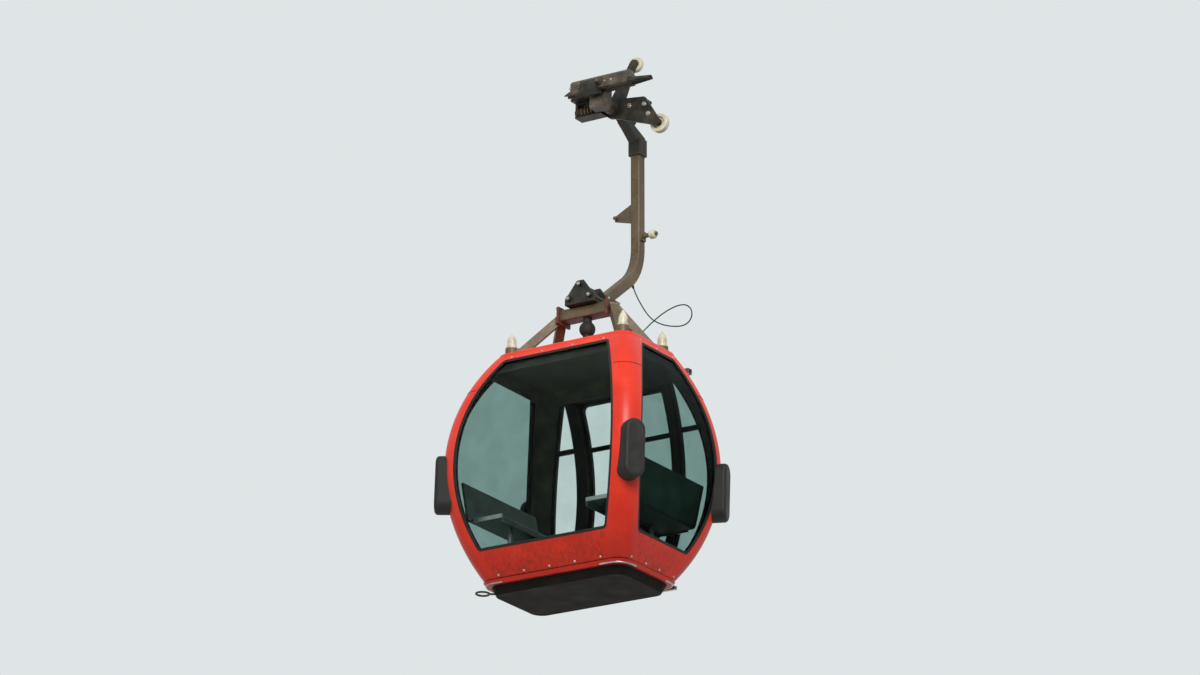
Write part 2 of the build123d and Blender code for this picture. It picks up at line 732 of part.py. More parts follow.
buffer_radius = 62
buffer_drop = 88
neck_radius = 34
neck_length = 156
with BuildPart() as hub_buffer:
    with Locations((0, 0, beam_bottom - neck_length / 2)):
        Cylinder(neck_radius, neck_length)
    with Locations((0, 0, beam_bottom - buffer_drop)):
        Sphere(buffer_radius)
save(hub_buffer.part, "hub_buffer")

# Spider arms: two forks from the beam's flanges down to round feet on the roof's corners
arm_width = 70
arm_inset = 12              # below the beam's top, and half of it above the beam's underside
arm_behind = 60             # cut away again where the flanges are
arm_level_run = 20
heel = 55
sole = 85
foot_radius = 48
foot_top = roof_top + arm_thickness
with BuildPart() as spider_arms:
    flange_face = beam_half_length + flange
    for side_x in (1, -1):
        for side_y in (1, -1):
            run = Vector(side_x * (cap_x - flange_face), side_y * cap_y, 0)
            origin = Vector(side_x * flange_face, 0, 0)
            upright = Plane(origin=origin, x_dir=run, z_dir=run.cross(Vector(0, 0, 1)))
            length = run.length
            with BuildSketch(upright):
                with BuildLine():
                    upper, lower = beam_top - arm_inset, beam_bottom + arm_inset / 2
                    Polyline(
                        (-arm_behind, upper), (arm_level_run, upper), (length - heel, foot_top),
                        (length, foot_top), (length, roof_top), (length - sole, roof_top),
                        (0, lower), (-arm_behind, lower), close=True,
                    )
                make_face()
            extrude(amount=arm_width / 2, both=True)
    box_between((-flange_face, flange_face), (-reach, reach), (mid_z, 0), Mode.SUBTRACT)
    with Locations(*[(x, y, (roof_top + foot_top) / 2) for x in (-cap_x, cap_x) for y in (-cap_y, cap_y)]):
        Cylinder(foot_radius, arm_thickness)
save(spider_arms.part, "spider_arms")

# Roof caps: bullet-shaped covers over the four fixing bolts
cap_shank = cap_radius - 5
cap_tip = 10
cap_top = foot_top + cap_base + cap_height
with BuildPart() as roof_cap:
    with BuildSketch(Plane.XZ):
        with BuildLine():
            Polyline(
                (0, cap_top), (0, foot_top), (cap_radius, foot_top), (cap_radius, foot_top + cap_base),
                (cap_shank, foot_top + cap_base), (cap_shank, cap_top - 62), (cap_shank - 8, cap_top - 36),
                (cap_tip, cap_top - cap_tip),
            )
            CenterArc((0, cap_top - cap_tip), cap_tip, 0, 90)
        make_face()
    revolve(axis=Axis.Z)
with BuildPart() as roof_caps:
    with Locations(*[(x, y, 0) for x in (-cap_x, cap_x) for y in (-cap_y, cap_y)]):
        add(roof_cap.part)
save(roof_caps.part, "roof_caps")

# Grip frame: the fixed jaw over the rope, its crossbeam and the pivot axle's housing
saddle_span = (-200, 330)
saddle_y = (-50, 66)
saddle_height = 108
near_chamfer = 24
far_chamfer = 34
block_half = 68
block_y = (26, 130)
block_z = (-118, 62)
housing_radius = 55
housing_end = boss_y[0] - 5
lug_places = (-82, 82)
lug_half = 11
lug_outline = ((-40, 84), (-40, 16), (-70, 24), (-104, 30), (-104, 60))     # Y and Z
jaw_pin = (-82, 42)
jaw_pin_radius = 11
jaw_pin_past = 22           # beyond the lugs at each end
with BuildPart() as grip_frame:
    with BuildSketch(Plane.YZ.offset(saddle_span[0])):
        with BuildLine():
            near_y, far_y = saddle_y
            Polyline(
                (near_y, 0), (far_y, 0), (far_y, saddle_height - far_chamfer),
                (far_y - far_chamfer, saddle_height), (near_y + near_chamfer, saddle_height),
                (near_y, saddle_height - near_chamfer), close=True,
            )
        make_face()
    extrude(amount=saddle_span[1] - saddle_span[0])
    box_between((-block_half, block_half), block_y, block_z)
    with Locations((0, (block_y[0] + housing_end) / 2, -pivot_drop)):
        Cylinder(housing_radius, housing_end - block_y[0], rotation=(90, 0, 0))
    for x in lug_places:
        with BuildSketch(Plane.YZ.offset(x - lug_half)):
            with BuildLine():
                Polyline(*lug_outline, close=True)
            make_face()
        extrude(amount=2 * lug_half)
    with Locations((0, jaw_pin[0], jaw_pin[1])):
        Cylinder(jaw_pin_radius, 2 * (lug_places[1] + lug_half + jaw_pin_past), rotation=(0, 90, 0))
    with Locations((sum(saddle_span) / 2, 0, 0)):
        Cylinder(rope_radius, 2 * reach, rotation=(0, 90, 0), mode=Mode.SUBTRACT)
save(grip_frame.part, "grip_frame")

# Movable jaw: hangs on its pin between the lugs and closes under the rope
jaw_half = 68
jaw_outline = (
    (-60, 62), (-60, -2), (-20, -2), (-2, -20), (-2, -34), (-44, -42), (-92, -18), (-104, 30), (-96, 60),
)
with BuildPart() as grip_jaw:
    with BuildSketch(Plane.YZ.offset(-jaw_half)):
        with BuildLine():
            Polyline(*jaw_outline, close=True)
        make_face()
    extrude(amount=2 * jaw_half)
    with Locations((0, jaw_pin[0], jaw_pin[1])):
        Cylinder(jaw_pin_radius, 4 * jaw_half, rotation=(0, 90, 0), mode=Mode.SUBTRACT)
    Cylinder(rope_radius, 4 * jaw_half, rotation=(0, 90, 0), mode=Mode.SUBTRACT)
save(grip_jaw.part, "grip_jaw")

# Rope tongues: half cones that lead the grip over the tower sheaves: start, length, side
tongue_table = ((saddle_span[0], 70, -1), (saddle_span[1], 190, 1))
tongue_root = 50
tongue_tip = 26
tongue_clearance = 3        # round the rope, which only the jaws hold
with BuildPart() as rope_tongues:
    for start, length, side in tongue_table:
        with Locations(Location((start + side * length / 2, 0, 0), (0, 90, 0))):
            if side > 0:
                Cone(tongue_root, tongue_tip, length)
            else:
                Cone(tongue_tip, tongue_root, length)
    Cylinder(rope_radius + tongue_clearance, 2 * reach, rotation=(0, 90, 0), mode=Mode.SUBTRACT)
    box_between((-reach, reach), (-reach, reach), (-reach, 0), Mode.SUBTRACT)
save(rope_tongues.part, "rope_tongues")

# Pivot axle: through the housing and the hanger head, with a retaining nut
nut_radius = 46
nut_start = boss_y[1] + 5
nut_length = 26
with BuildPart() as pivot_axle:
    axle_start = housing_end
    with Locations((0, (axle_start + nut_start + nut_length) / 2, -pivot_drop)):
        Cylinder(axle_radius, nut_start + nut_length - axle_start, rotation=(90, 0, 0))
    with BuildSketch(Plane.XZ.offset(-nut_start)):
        with Locations((0, -pivot_drop)):
            RegularPolygon(nut_radius, 6)
    extrude(amount=-nut_length)
save(pivot_axle.part, "pivot_axle")

# Spring cage beside the rope, with its pack of disc springs on a rod
cage_y = (134, 230)
cage_z = (-125, -5)
cage_x = (-275, -35)
cage_plate = 20
cage_strap = 10
rod_radius = 14
rod_end = 26
spring_y = sum(cage_y) / 2
spring_z = sum(cage_z) / 2
spring_radius = 44
disc_count = 12
disc_thickness = 6
spring_x = (cage_x[0] + cage_plate, -75)
stop_plate = 14
shelf = 20                  # plate that carries the cage from the saddle's side
with BuildPart() as spring_cage:
    box_between(cage_x, cage_y, cage_z)
    box_between((cage_x[0], -block_half), (saddle_y[1], cage_y[1]), (cage_z[1], cage_z[1] + shelf))
    hollow_x = (cage_x[0] + cage_plate, cage_x[1])
    hollow_y = (cage_y[0] - 1, cage_y[1] + 1)
    hollow_z = (cage_z[0] + cage_strap, cage_z[1] - cage_strap)
    box_between(hollow_x, hollow_y, hollow_z, Mode.SUBTRACT)
    with Locations(((cage_x[0] - rod_end) / 2, spring_y, spring_z)):
        Cylinder(rod_radius, rod_end - cage_x[0], rotation=(0, 90, 0))
    with Locations((cage_x[0] - rod_end / 2, spring_y, spring_z)):
        Cylinder(2 * rod_radius, rod_end / 2, rotation=(0, 90, 0))
    box_between((spring_x[1], spring_x[1] + stop_plate), cage_y, hollow_z)
    with Locations((0, spring_y, -pivot_drop)):
        Cylinder(housing_radius, 2 * spring_y, rotation=(90, 0, 0), mode=Mode.SUBTRACT)
save(spring_cage.part, "spring_cage")

# Disc springs stacked back to back, so that each pair touches at its rim or at its bore
disc_pitch = (spring_x[1] - spring_x[0]) / disc_count
cone_rise = disc_pitch - disc_thickness
with BuildPart() as spring_pack:
    with BuildSketch(Plane.XY):
        for disc in range(disc_count):
            near = spring_x[0] + disc * disc_pitch
            rim, bore = (cone_rise, 0) if disc % 2 else (0, cone_rise)
            with BuildLine():
                Polyline(
                    (near + bore, rod_radius), (near + rim, spring_radius),
                    (near + rim + disc_thickness, spring_radius), (near + bore + disc_thickness, rod_radius),
                    close=True,
                )
            make_face()
    revolve(axis=Axis.X)
save(spring_pack.part.moved(Location((0, spring_y, spring_z))), "spring_pack")

# Two arms clamped round the housing, each carrying a free wheel on a pin
arm_ring = 76
pin_radius = 12
pin_collar = 20
pin_past = 16
wheel_play = 5
arm_end_radius = 32
horn_place = (290, -40)
horn_radius = 22
horn_reach = 335


def clamp_arm(y_span, wheel_place, wheel_width, horns=()):
    """A flat plate from a ring on the housing to a wheel's pin, with any further lobes."""
    x, y, z = wheel_place
    with BuildPart() as arm:
        with BuildSketch(Plane.XZ.offset(-y_span[0])):
            for end_x, end_z, end_radius in ((0, -pivot_drop, arm_ring), (x, z, arm_end_radius), *horns):
                with Locations((end_x, end_z)):
                    Circle(end_radius)
            make_hull()
        extrude(amount=-(y_span[1] - y_span[0]))
        with Locations((0, sum(y_span) / 2, -pivot_drop)):
            Cylinder(housing_radius, 2 * y_span[1], rotation=(90, 0, 0), mode=Mode.SUBTRACT)
        pin_end = y + wheel_width / 2 + wheel_play + pin_past
        collar_end = y - wheel_width / 2 - seat_gap
        nut_start = y + wheel_width / 2 + wheel_play
        for radius, low, high in (
            (pin_radius, y_span[0], pin_end),
            (pin_collar, y_span[1], collar_end),
            (pin_collar, nut_start, pin_end),
        ):
            with Locations((x, (low + high) / 2, z)):
                Cylinder(radius, high - low, rotation=(90, 0, 0))
    return arm.part


with BuildPart() as wheel_arm:
    wheel_arm_y = (236, 256)
    horn_x, horn_z = horn_place
    add(clamp_arm(wheel_arm_y, wheel_place, wheel_width, ((horn_x, horn_z, horn_radius),)))
    with Locations((horn_x, (wheel_arm_y[1] + horn_reach) / 2, horn_z)):
        Cylinder(horn_radius - 6, horn_reach - wheel_arm_y[1], rotation=(90, 0, 0))
save(wheel_arm.part, "wheel_arm")

coupling_lever = clamp_arm((260, 276), coupling_roller_place, coupling_roller_width)
save(coupling_lever, "coupling_lever")


def grooved_wheel(place, radius, width, tread):
    """A wheel about Y: a tread ring, a thinner web and a hub with a running bore."""
    with BuildPart() as wheel:
        with Locations(Location(place, (90, 0, 0))):
            Cylinder(radius, width)
            fillet(wheel.edges().filter_by(GeomType.CIRCLE), 6)
            for side in (1, -1):
                with Locations((0, 0, side * width / 2)):
                    Cylinder(radius - tread, width / 2, mode=Mode.SUBTRACT)
            Cylinder(pin_collar + 8, width)
            Cylinder(pin_radius + axle_clearance, width, mode=Mode.SUBTRACT)
    return wheel.part


save(grooved_wheel(wheel_place, wheel_radius, wheel_width, 26), "running_wheel")
save(grooved_wheel(coupling_roller_place, coupling_roller_radius, coupling_roller_width, 22), "coupling_roller")

# Signal cable: free between its gland on the hanger's bend and its gland on the roof
cable_diameter = 10
cable_route = (
    (20, 574, -1443.5), (34, 600, -1505), (95, 575, -1592), (170, 540, -1688), (255, 508, -1772),
    (355, 494, -1832), (455, 484, -1866), (540, 476, -1882), (600, 468, -1874), (640, 460, -1842),
    (652, 452, -1796), (634, 443, -1752), (590, 434, -1726), (515, 424, -1730), (410, 404, -1778),
    (312, 376, -1862), (256, 336, -1945), (236, 298, -2020), (235, 290, -2100),
)
bend_share = 0.45           # of the shorter run, taken by each arc
points = [Vector(point) for point in cable_route]
bend_radii = []
for before, corner, after in zip(points, points[1:], points[2:]):
    turn = radians((corner - before).get_angle(after - corner))
    shorter = min((corner - before).length, (after - corner).length)
    bend_radii.append(bend_share * shorter / tan(turn / 2))
print("cable bend radii, mm:", [round(radius) for radius in bend_radii])

with BuildPart() as signal_cable:
    with BuildLine() as cable_line:
        FilletPolyline(*points, radius=bend_radii)
    with BuildSketch(Plane(origin=cable_line.wires()[0] @ 0, z_dir=cable_line.wires()[0] % 0)):
        Circle(cable_diameter / 2)
    sweep(path=cable_line.wires()[0])
section = pi * cable_diameter**2 / 4
cable_length = cable_line.wires()[0].length
volume_ratio = signal_cable.part.volume / (section * cable_length)
print("cable length, mm:", round(cable_length), "volume over section times length:", round(volume_ratio, 4))
save(signal_cable.part, "signal_cable")

# Glands: a tapered one on the hanger's bend and an upright one on the roof
gland_root = 15
gland_tip = 8
gland_length = 46
with BuildPart() as cable_glands:
    cable_out = (points[1] - points[0]).normalized()
    gland_plane = Plane(origin=points[0], z_dir=-1 * cable_out)
    with BuildSketch(gland_plane):
        Circle(gland_tip)
    with BuildSketch(gland_plane.offset(gland_length)):
        Circle(gland_root)
    loft()
    add(tube_form.part, mode=Mode.SUBTRACT)
    cable_in = (points[-1] - points[-2]).normalized()
    with BuildSketch(Plane(origin=points[-1], z_dir=cable_in)):
        Circle(gland_tip)
    with BuildSketch(Plane.XY.offset(roof_top)):
        with Locations((points[-1].X, points[-1].Y)):
            Circle(gland_root)
    loft()
save(cable_glands.part, "cable_glands")
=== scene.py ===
import json
from math import cos, hypot, pi, radians, sin

import bpy
from mathutils import Matrix, Vector
from mathutils.bvhtree import BVHTree


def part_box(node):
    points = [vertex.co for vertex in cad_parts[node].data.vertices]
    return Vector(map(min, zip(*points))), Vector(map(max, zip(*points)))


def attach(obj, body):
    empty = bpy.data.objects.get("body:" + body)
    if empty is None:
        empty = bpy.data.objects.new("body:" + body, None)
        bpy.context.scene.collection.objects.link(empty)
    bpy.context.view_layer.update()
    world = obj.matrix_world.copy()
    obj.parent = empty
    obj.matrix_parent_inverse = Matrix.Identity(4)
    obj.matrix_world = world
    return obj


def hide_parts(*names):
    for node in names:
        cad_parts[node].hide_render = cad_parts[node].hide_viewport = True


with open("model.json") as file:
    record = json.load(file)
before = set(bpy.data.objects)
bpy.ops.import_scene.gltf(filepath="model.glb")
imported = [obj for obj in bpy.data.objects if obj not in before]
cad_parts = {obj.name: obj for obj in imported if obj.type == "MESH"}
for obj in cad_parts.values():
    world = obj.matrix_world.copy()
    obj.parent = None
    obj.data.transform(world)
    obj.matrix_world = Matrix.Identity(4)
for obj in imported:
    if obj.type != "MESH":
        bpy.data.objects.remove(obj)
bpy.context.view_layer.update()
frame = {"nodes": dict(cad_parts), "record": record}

nodes = frame["nodes"]
mm = 0.001
print("frame loaded:", len(nodes), "nodes")


def link(thing):
    bpy.context.scene.collection.objects.link(thing)
    return thing


# Where the photographer stood, worked out from the cabin's corners and verticals. Lengths are in metres.
camera = {
    "turnDeg": 35.033,             # azimuth of the line of sight
    "lookUpDeg": 18.8,
    "rollDeg": 1.805,              # uprights lean this much in the picture
    "distance": 40.695,            # to the middle of the red body
    "bodyMiddle": (0.0, 0.0, -3.115),
    "aim": (-0.02, 0.20, -1.96),   # the middle of the whole thing
    "fillHeight": 5.15,            # the height that the frame takes in there
    "sensorWidth": 36.0,           # in millimetres
    "frameRatio": 1200 / 675,
    "clipEnd": 400,
    "eyeHeight": 0.10,             # camera above the floor
}


def photoCamera():
    turn, up = radians(camera["turnDeg"]), radians(camera["lookUpDeg"])
    level = Vector((-sin(turn), cos(turn), 0))
    sight = level * cos(up) + Vector((0, 0, 1)) * sin(up)
    place = Vector(camera["bodyMiddle"]) - sight * camera["distance"]
    forward = Vector(camera["aim"]) - place
    reach = forward.length
    data = bpy.data.cameras.new("photoCamera")
    data.sensor_width = camera["sensorWidth"]
    data.lens = camera["sensorWidth"] * reach / (camera["fillHeight"] * camera["frameRatio"])
    data.clip_end = camera["clipEnd"]
    eye = link(bpy.data.objects.new("photoCamera", data))
    eye.location = place
    eye.rotation_mode = "QUATERNION"
    roll = Matrix.Rotation(radians(camera["rollDeg"]), 3, "Z").to_quaternion()
    eye.rotation_quaternion = forward.to_track_quat("-Z", "Y") @ roll
    bpy.context.scene.camera = eye
    return eye


eye = photoCamera()
floorLevel = eye.location.z - camera["eyeHeight"]
print("camera at", [round(v, 2) for v in eye.location], "lens", round(eye.data.lens, 1))

# Signal cable: millimetres, from the gland on the hanger's bend to the gland on the roof
signalCable = {
    "diameter": 10,
    "length": 1584,
    "route": (
        (20, 574, -1443.5), (34, 600, -1505), (95, 575, -1592), (170, 540, -1688), (255, 508, -1772),
        (355, 494, -1832), (455, 484, -1866), (540, 476, -1882), (600, 468, -1874), (640, 460, -1842),
        (652, 452, -1796), (634, 443, -1752), (590, 434, -1726), (515, 424, -1730), (410, 404, -1778),
        (312, 376, -1862), (256, 336, -1945), (236, 298, -2020), (235, 290, -2100),
    ),
}


def makeCable():
    data = bpy.data.curves.new("signalCable", "CURVE")
    data.dimensions = "3D"
    # The bevel's depth is times each point's radius: radii of 1 would swell the curve's box by a metre
    data.bevel_depth = 1.0
    data.bevel_resolution = 4
    data.use_fill_caps = True
    data.resolution_u = 10
    line = data.splines.new("NURBS")
    line.points.add(len(signalCable["route"]) - 1)
    for point, place in zip(line.points, signalCable["route"]):
        point.co = (*(v * mm for v in place), 1)
        point.radius = signalCable["diameter"] / 2 * mm
    line.order_u = 3
    line.use_endpoint_u = True
    cable = link(bpy.data.objects.new("signalCableSheath", data))
    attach(cable, "cabin")
    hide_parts("signal_cable")
    return cable


cable = makeCable()
print("signal cable laid")


# Materials
def paintHex(code):   # an sRGB hex colour as linear red, green, blue and alpha
    parts = [int(code[i:i + 2], 16) / 255 for i in (1, 3, 5)]
    return tuple(v / 12.92 if v <= 0.04045 else ((v + 0.055) / 1.055) ** 2.4 for v in parts) + (1.0,)


def addNode(tree, kind, feeds=None, **settings):   # feeds: input name or number to a value or a socket
    node = tree.nodes.new(kind)
    for name, value in settings.items():
        setattr(node, name, value)
    for name, value in (feeds or {}).items():
        if isinstance(value, bpy.types.NodeSocket):
            tree.links.new(value, node.inputs[name])
        else:
            node.inputs[name].default_value = value
    return node


def newMaterial(name):
    made = bpy.data.materials.new(name)
    made.use_nodes = True
    tree = made.node_tree
    tree.nodes.clear()
    shader = addNode(tree, "ShaderNodeBsdfPrincipled")
    addNode(tree, "ShaderNodeOutputMaterial", {"Surface": shader.outputs[0]})
    coords = addNode(tree, "ShaderNodeTexCoord").outputs["Object"]
    return made, tree, shader, coords


def cloud(tree, coords, sizeMm, detail=4.0, rough=0.55):   # soft noise whose patches are about sizeMm wide
    return addNode(tree, "ShaderNodeTexNoise", {
        "Vector": coords, "Scale": 1 / (sizeMm * mm), "Detail": detail, "Roughness": rough,
    }).outputs["Fac"]


def ramp(tree, value, *stops):   # stops: (place, hex colour)
    node = addNode(tree, "ShaderNodeValToRGB", {"Fac": value})
    line = node.color_ramp.elements
    while len(line) < len(stops):
        line.new(0.5)
    for element, (place, colour) in zip(line, stops):
        element.position = place
        element.color = paintHex(colour)
    return node.outputs["Color"]


def span(tree, value, low, high, outLow, outHigh):
    return addNode(tree, "ShaderNodeMapRange", {
        "Value": value, "From Min": low, "From Max": high, "To Min": outLow, "To Max": outHigh,
    }, clamp=True).outputs["Result"]


def blendColours(tree, share, first, second):
    # Each colour is a hex code or a socket. Inputs 6 and 7 and output 2 of a Mix node are its colours.
    node = addNode(tree, "ShaderNodeMix", {0: share}, data_type="RGBA")
    for number, colour in ((6, first), (7, second)):
        if isinstance(colour, bpy.types.NodeSocket):
            tree.links.new(colour, node.inputs[number])
        else:
            node.inputs[number].default_value = paintHex(colour)
    return node.outputs[2]


def relief(tree, height, depthMm, strength):
    return addNode(tree, "ShaderNodeBump", {
        "Height": height, "Distance": depthMm * mm, "Strength": strength,
    }).outputs["Normal"]


def wire(tree, shader, **feeds):
    names = {"colour": "Base Color", "roughness": "Roughness", "metallic": "Metallic", "normal": "Normal"}
    for key, value in feeds.items():
        socket = shader.inputs[names[key]]
        if isinstance(value, bpy.types.NodeSocket):
            tree.links.new(value, socket)
        else:
            socket.default_value = value


cloudRange = (0.3, 0.7)   # nearly all of a cloud's values lie in here

# Red enamel: patch, streak and peel in millimetres, levels in metres
enamelLook = {
    "patch": 260,
    "reds": ((0.30, "#cc2a17"), (0.55, "#da321c"), (0.75, "#e33c24")),
    # the dark red of road dirt, and on the sills also of painted shade
    "dirtAndShade": "#702418",
    "dirtAndShadeLevels": (-4.02, -3.62),    # thickest at the first, gone at the second
    "streak": 26,
    "streakRise": 0.12,              # under 1 the streaks are long and upright
    "streakBand": (0.42, 0.72),      # noise below is clean, noise above is darkened
    "roughness": (0.34, 0.48),
    "peel": 5,
    "peelDepth": 0.12,
    "coat": 0.16,
    "coatRoughness": 0.24,
    "ior": 1.5,
    "gloss": 0.22,
}


def enamel(name, dirtAndShadeShare):
    # Two-pack enamel sprayed on aluminium sheet: soft gloss over a faint orange peel, darker in streaks low
    # down: road dirt, and where the share is large also painted shade
    made, tree, shader, coords = newMaterial(name)
    patches = cloud(tree, coords, enamelLook["patch"])
    fresh = ramp(tree, patches, *enamelLook["reds"])
    up = addNode(tree, "ShaderNodeSeparateXYZ", {"Vector": coords}).outputs["Z"]
    low = span(tree, up, *enamelLook["dirtAndShadeLevels"], 1.0, 0.0)
    stretch = (1.0, 1.0, enamelLook["streakRise"])
    tall = addNode(tree, "ShaderNodeMapping", {"Vector": coords, "Scale": stretch}).outputs[0]
    streaks = cloud(tree, tall, enamelLook["streak"], detail=6.0, rough=0.65)
    runs = span(tree, streaks, *enamelLook["streakBand"], 0.0, dirtAndShadeShare)
    # the dark red's mask: road dirt, and with the sills' large share painted shade as well
    dirtAndShade = addNode(tree, "ShaderNodeMath", {0: low, 1: runs}, operation="MULTIPLY").outputs[0]
    colour = blendColours(tree, dirtAndShade, fresh, enamelLook["dirtAndShade"])
    peel = cloud(tree, coords, enamelLook["peel"], detail=2.0, rough=0.4)
    wire(tree, shader, colour=colour, roughness=span(tree, patches, *cloudRange, *enamelLook["roughness"]),
         normal=relief(tree, peel, enamelLook["peelDepth"], strength=0.35))
    shader.inputs["Coat Weight"].default_value = enamelLook["coat"]
    shader.inputs["Coat Roughness"].default_value = enamelLook["coatRoughness"]
    shader.inputs["IOR"].default_value = enamelLook["ior"]
    shader.inputs["Specular IOR Level"].default_value = enamelLook["gloss"]
    return made


# Acrylic's own IOR is 1.49. It is less here, as the panes show no mirror image at all.
acrylicLook = {"patch": 180, "toneBand": (0.35, 0.65), "ior": 1.05}


def acrylic(name, tint, stained):
    # Cast acrylic sheet, heat-bent and polished: clear or lightly smoked, a little deeper in broad patches.
    # The smoked tint's teal is also a painted reflection of the sky.
    made, tree, shader, coords = newMaterial(name)
    patches = cloud(tree, coords, acrylicLook["patch"])
    low, high = acrylicLook["toneBand"]
    wire(tree, shader, colour=ramp(tree, patches, (low, tint), (high, stained)), roughness=0.0)
    shader.inputs["Transmission Weight"].default_value = 1.0
    shader.inputs["IOR"].default_value = acrylicLook["ior"]
    return made


toneStops = (0.32, 0.5, 0.7)   # where a plain finish's three tones sit in its cloud


def plainFinish(name, tones, roughness, metallic=0.0, patchMm=120, grainMm=3, grainDepth=0.1, gloss=0.5):
    # Three tones in soft patches over a fine grain. The roughness goes from its first to its second value.
    made, tree, shader, coords = newMaterial(name)
    shader.inputs["Specular IOR Level"].default_value = gloss
    patches = cloud(tree, coords, patchMm)
    grain = cloud(tree, coords, grainMm, detail=3.0)
    wire(tree, shader, colour=ramp(tree, patches, *zip(toneStops, tones)), metallic=metallic,
         roughness=span(tree, patches, *cloudRange, *roughness),
         normal=relief(tree, grain, grainDepth, strength=0.5))
    return made


# Galvanised steel: sizes in millimetres
galvanisedLook = {
    "patch": 210,
    "browns": ((0.28, "#443729"), (0.5, "#564735"), (0.72, "#695943")),
    "crystal": 16,
    "fleck": "#7c6c53",
    "fleckShare": 0.3,
    "metallic": 0.3,
    "roughness": (0.45, 0.62),
    "pitting": 4,
    "pittingDepth": 0.15,
}


def galvanised():
    # Hot-dip galvanised steel, weathered: dull grey-brown with faint crystals the size of a thumbnail
    made, tree, shader, coords = newMaterial("weatheredGalvanisedSteel")
    size = {"Vector": coords, "Scale": 1 / (galvanisedLook["crystal"] * mm)}
    crystals = addNode(tree, "ShaderNodeTexVoronoi", size).outputs["Color"]
    tone = addNode(tree, "ShaderNodeSeparateColor", {"Color": crystals}).outputs["Red"]
    patches = cloud(tree, coords, galvanisedLook["patch"])
    base = ramp(tree, patches, *galvanisedLook["browns"])
    share = span(tree, tone, 0.0, 1.0, 0.0, galvanisedLook["fleckShare"])
    pitting = cloud(tree, coords, galvanisedLook["pitting"])
    wire(tree, shader, colour=blendColours(tree, share, base, galvanisedLook["fleck"]),
         metallic=galvanisedLook["metallic"],
         roughness=span(tree, tone, 0.0, 1.0, *galvanisedLook["roughness"]),
         normal=relief(tree, pitting, galvanisedLook["pittingDepth"], strength=0.4))
    return made


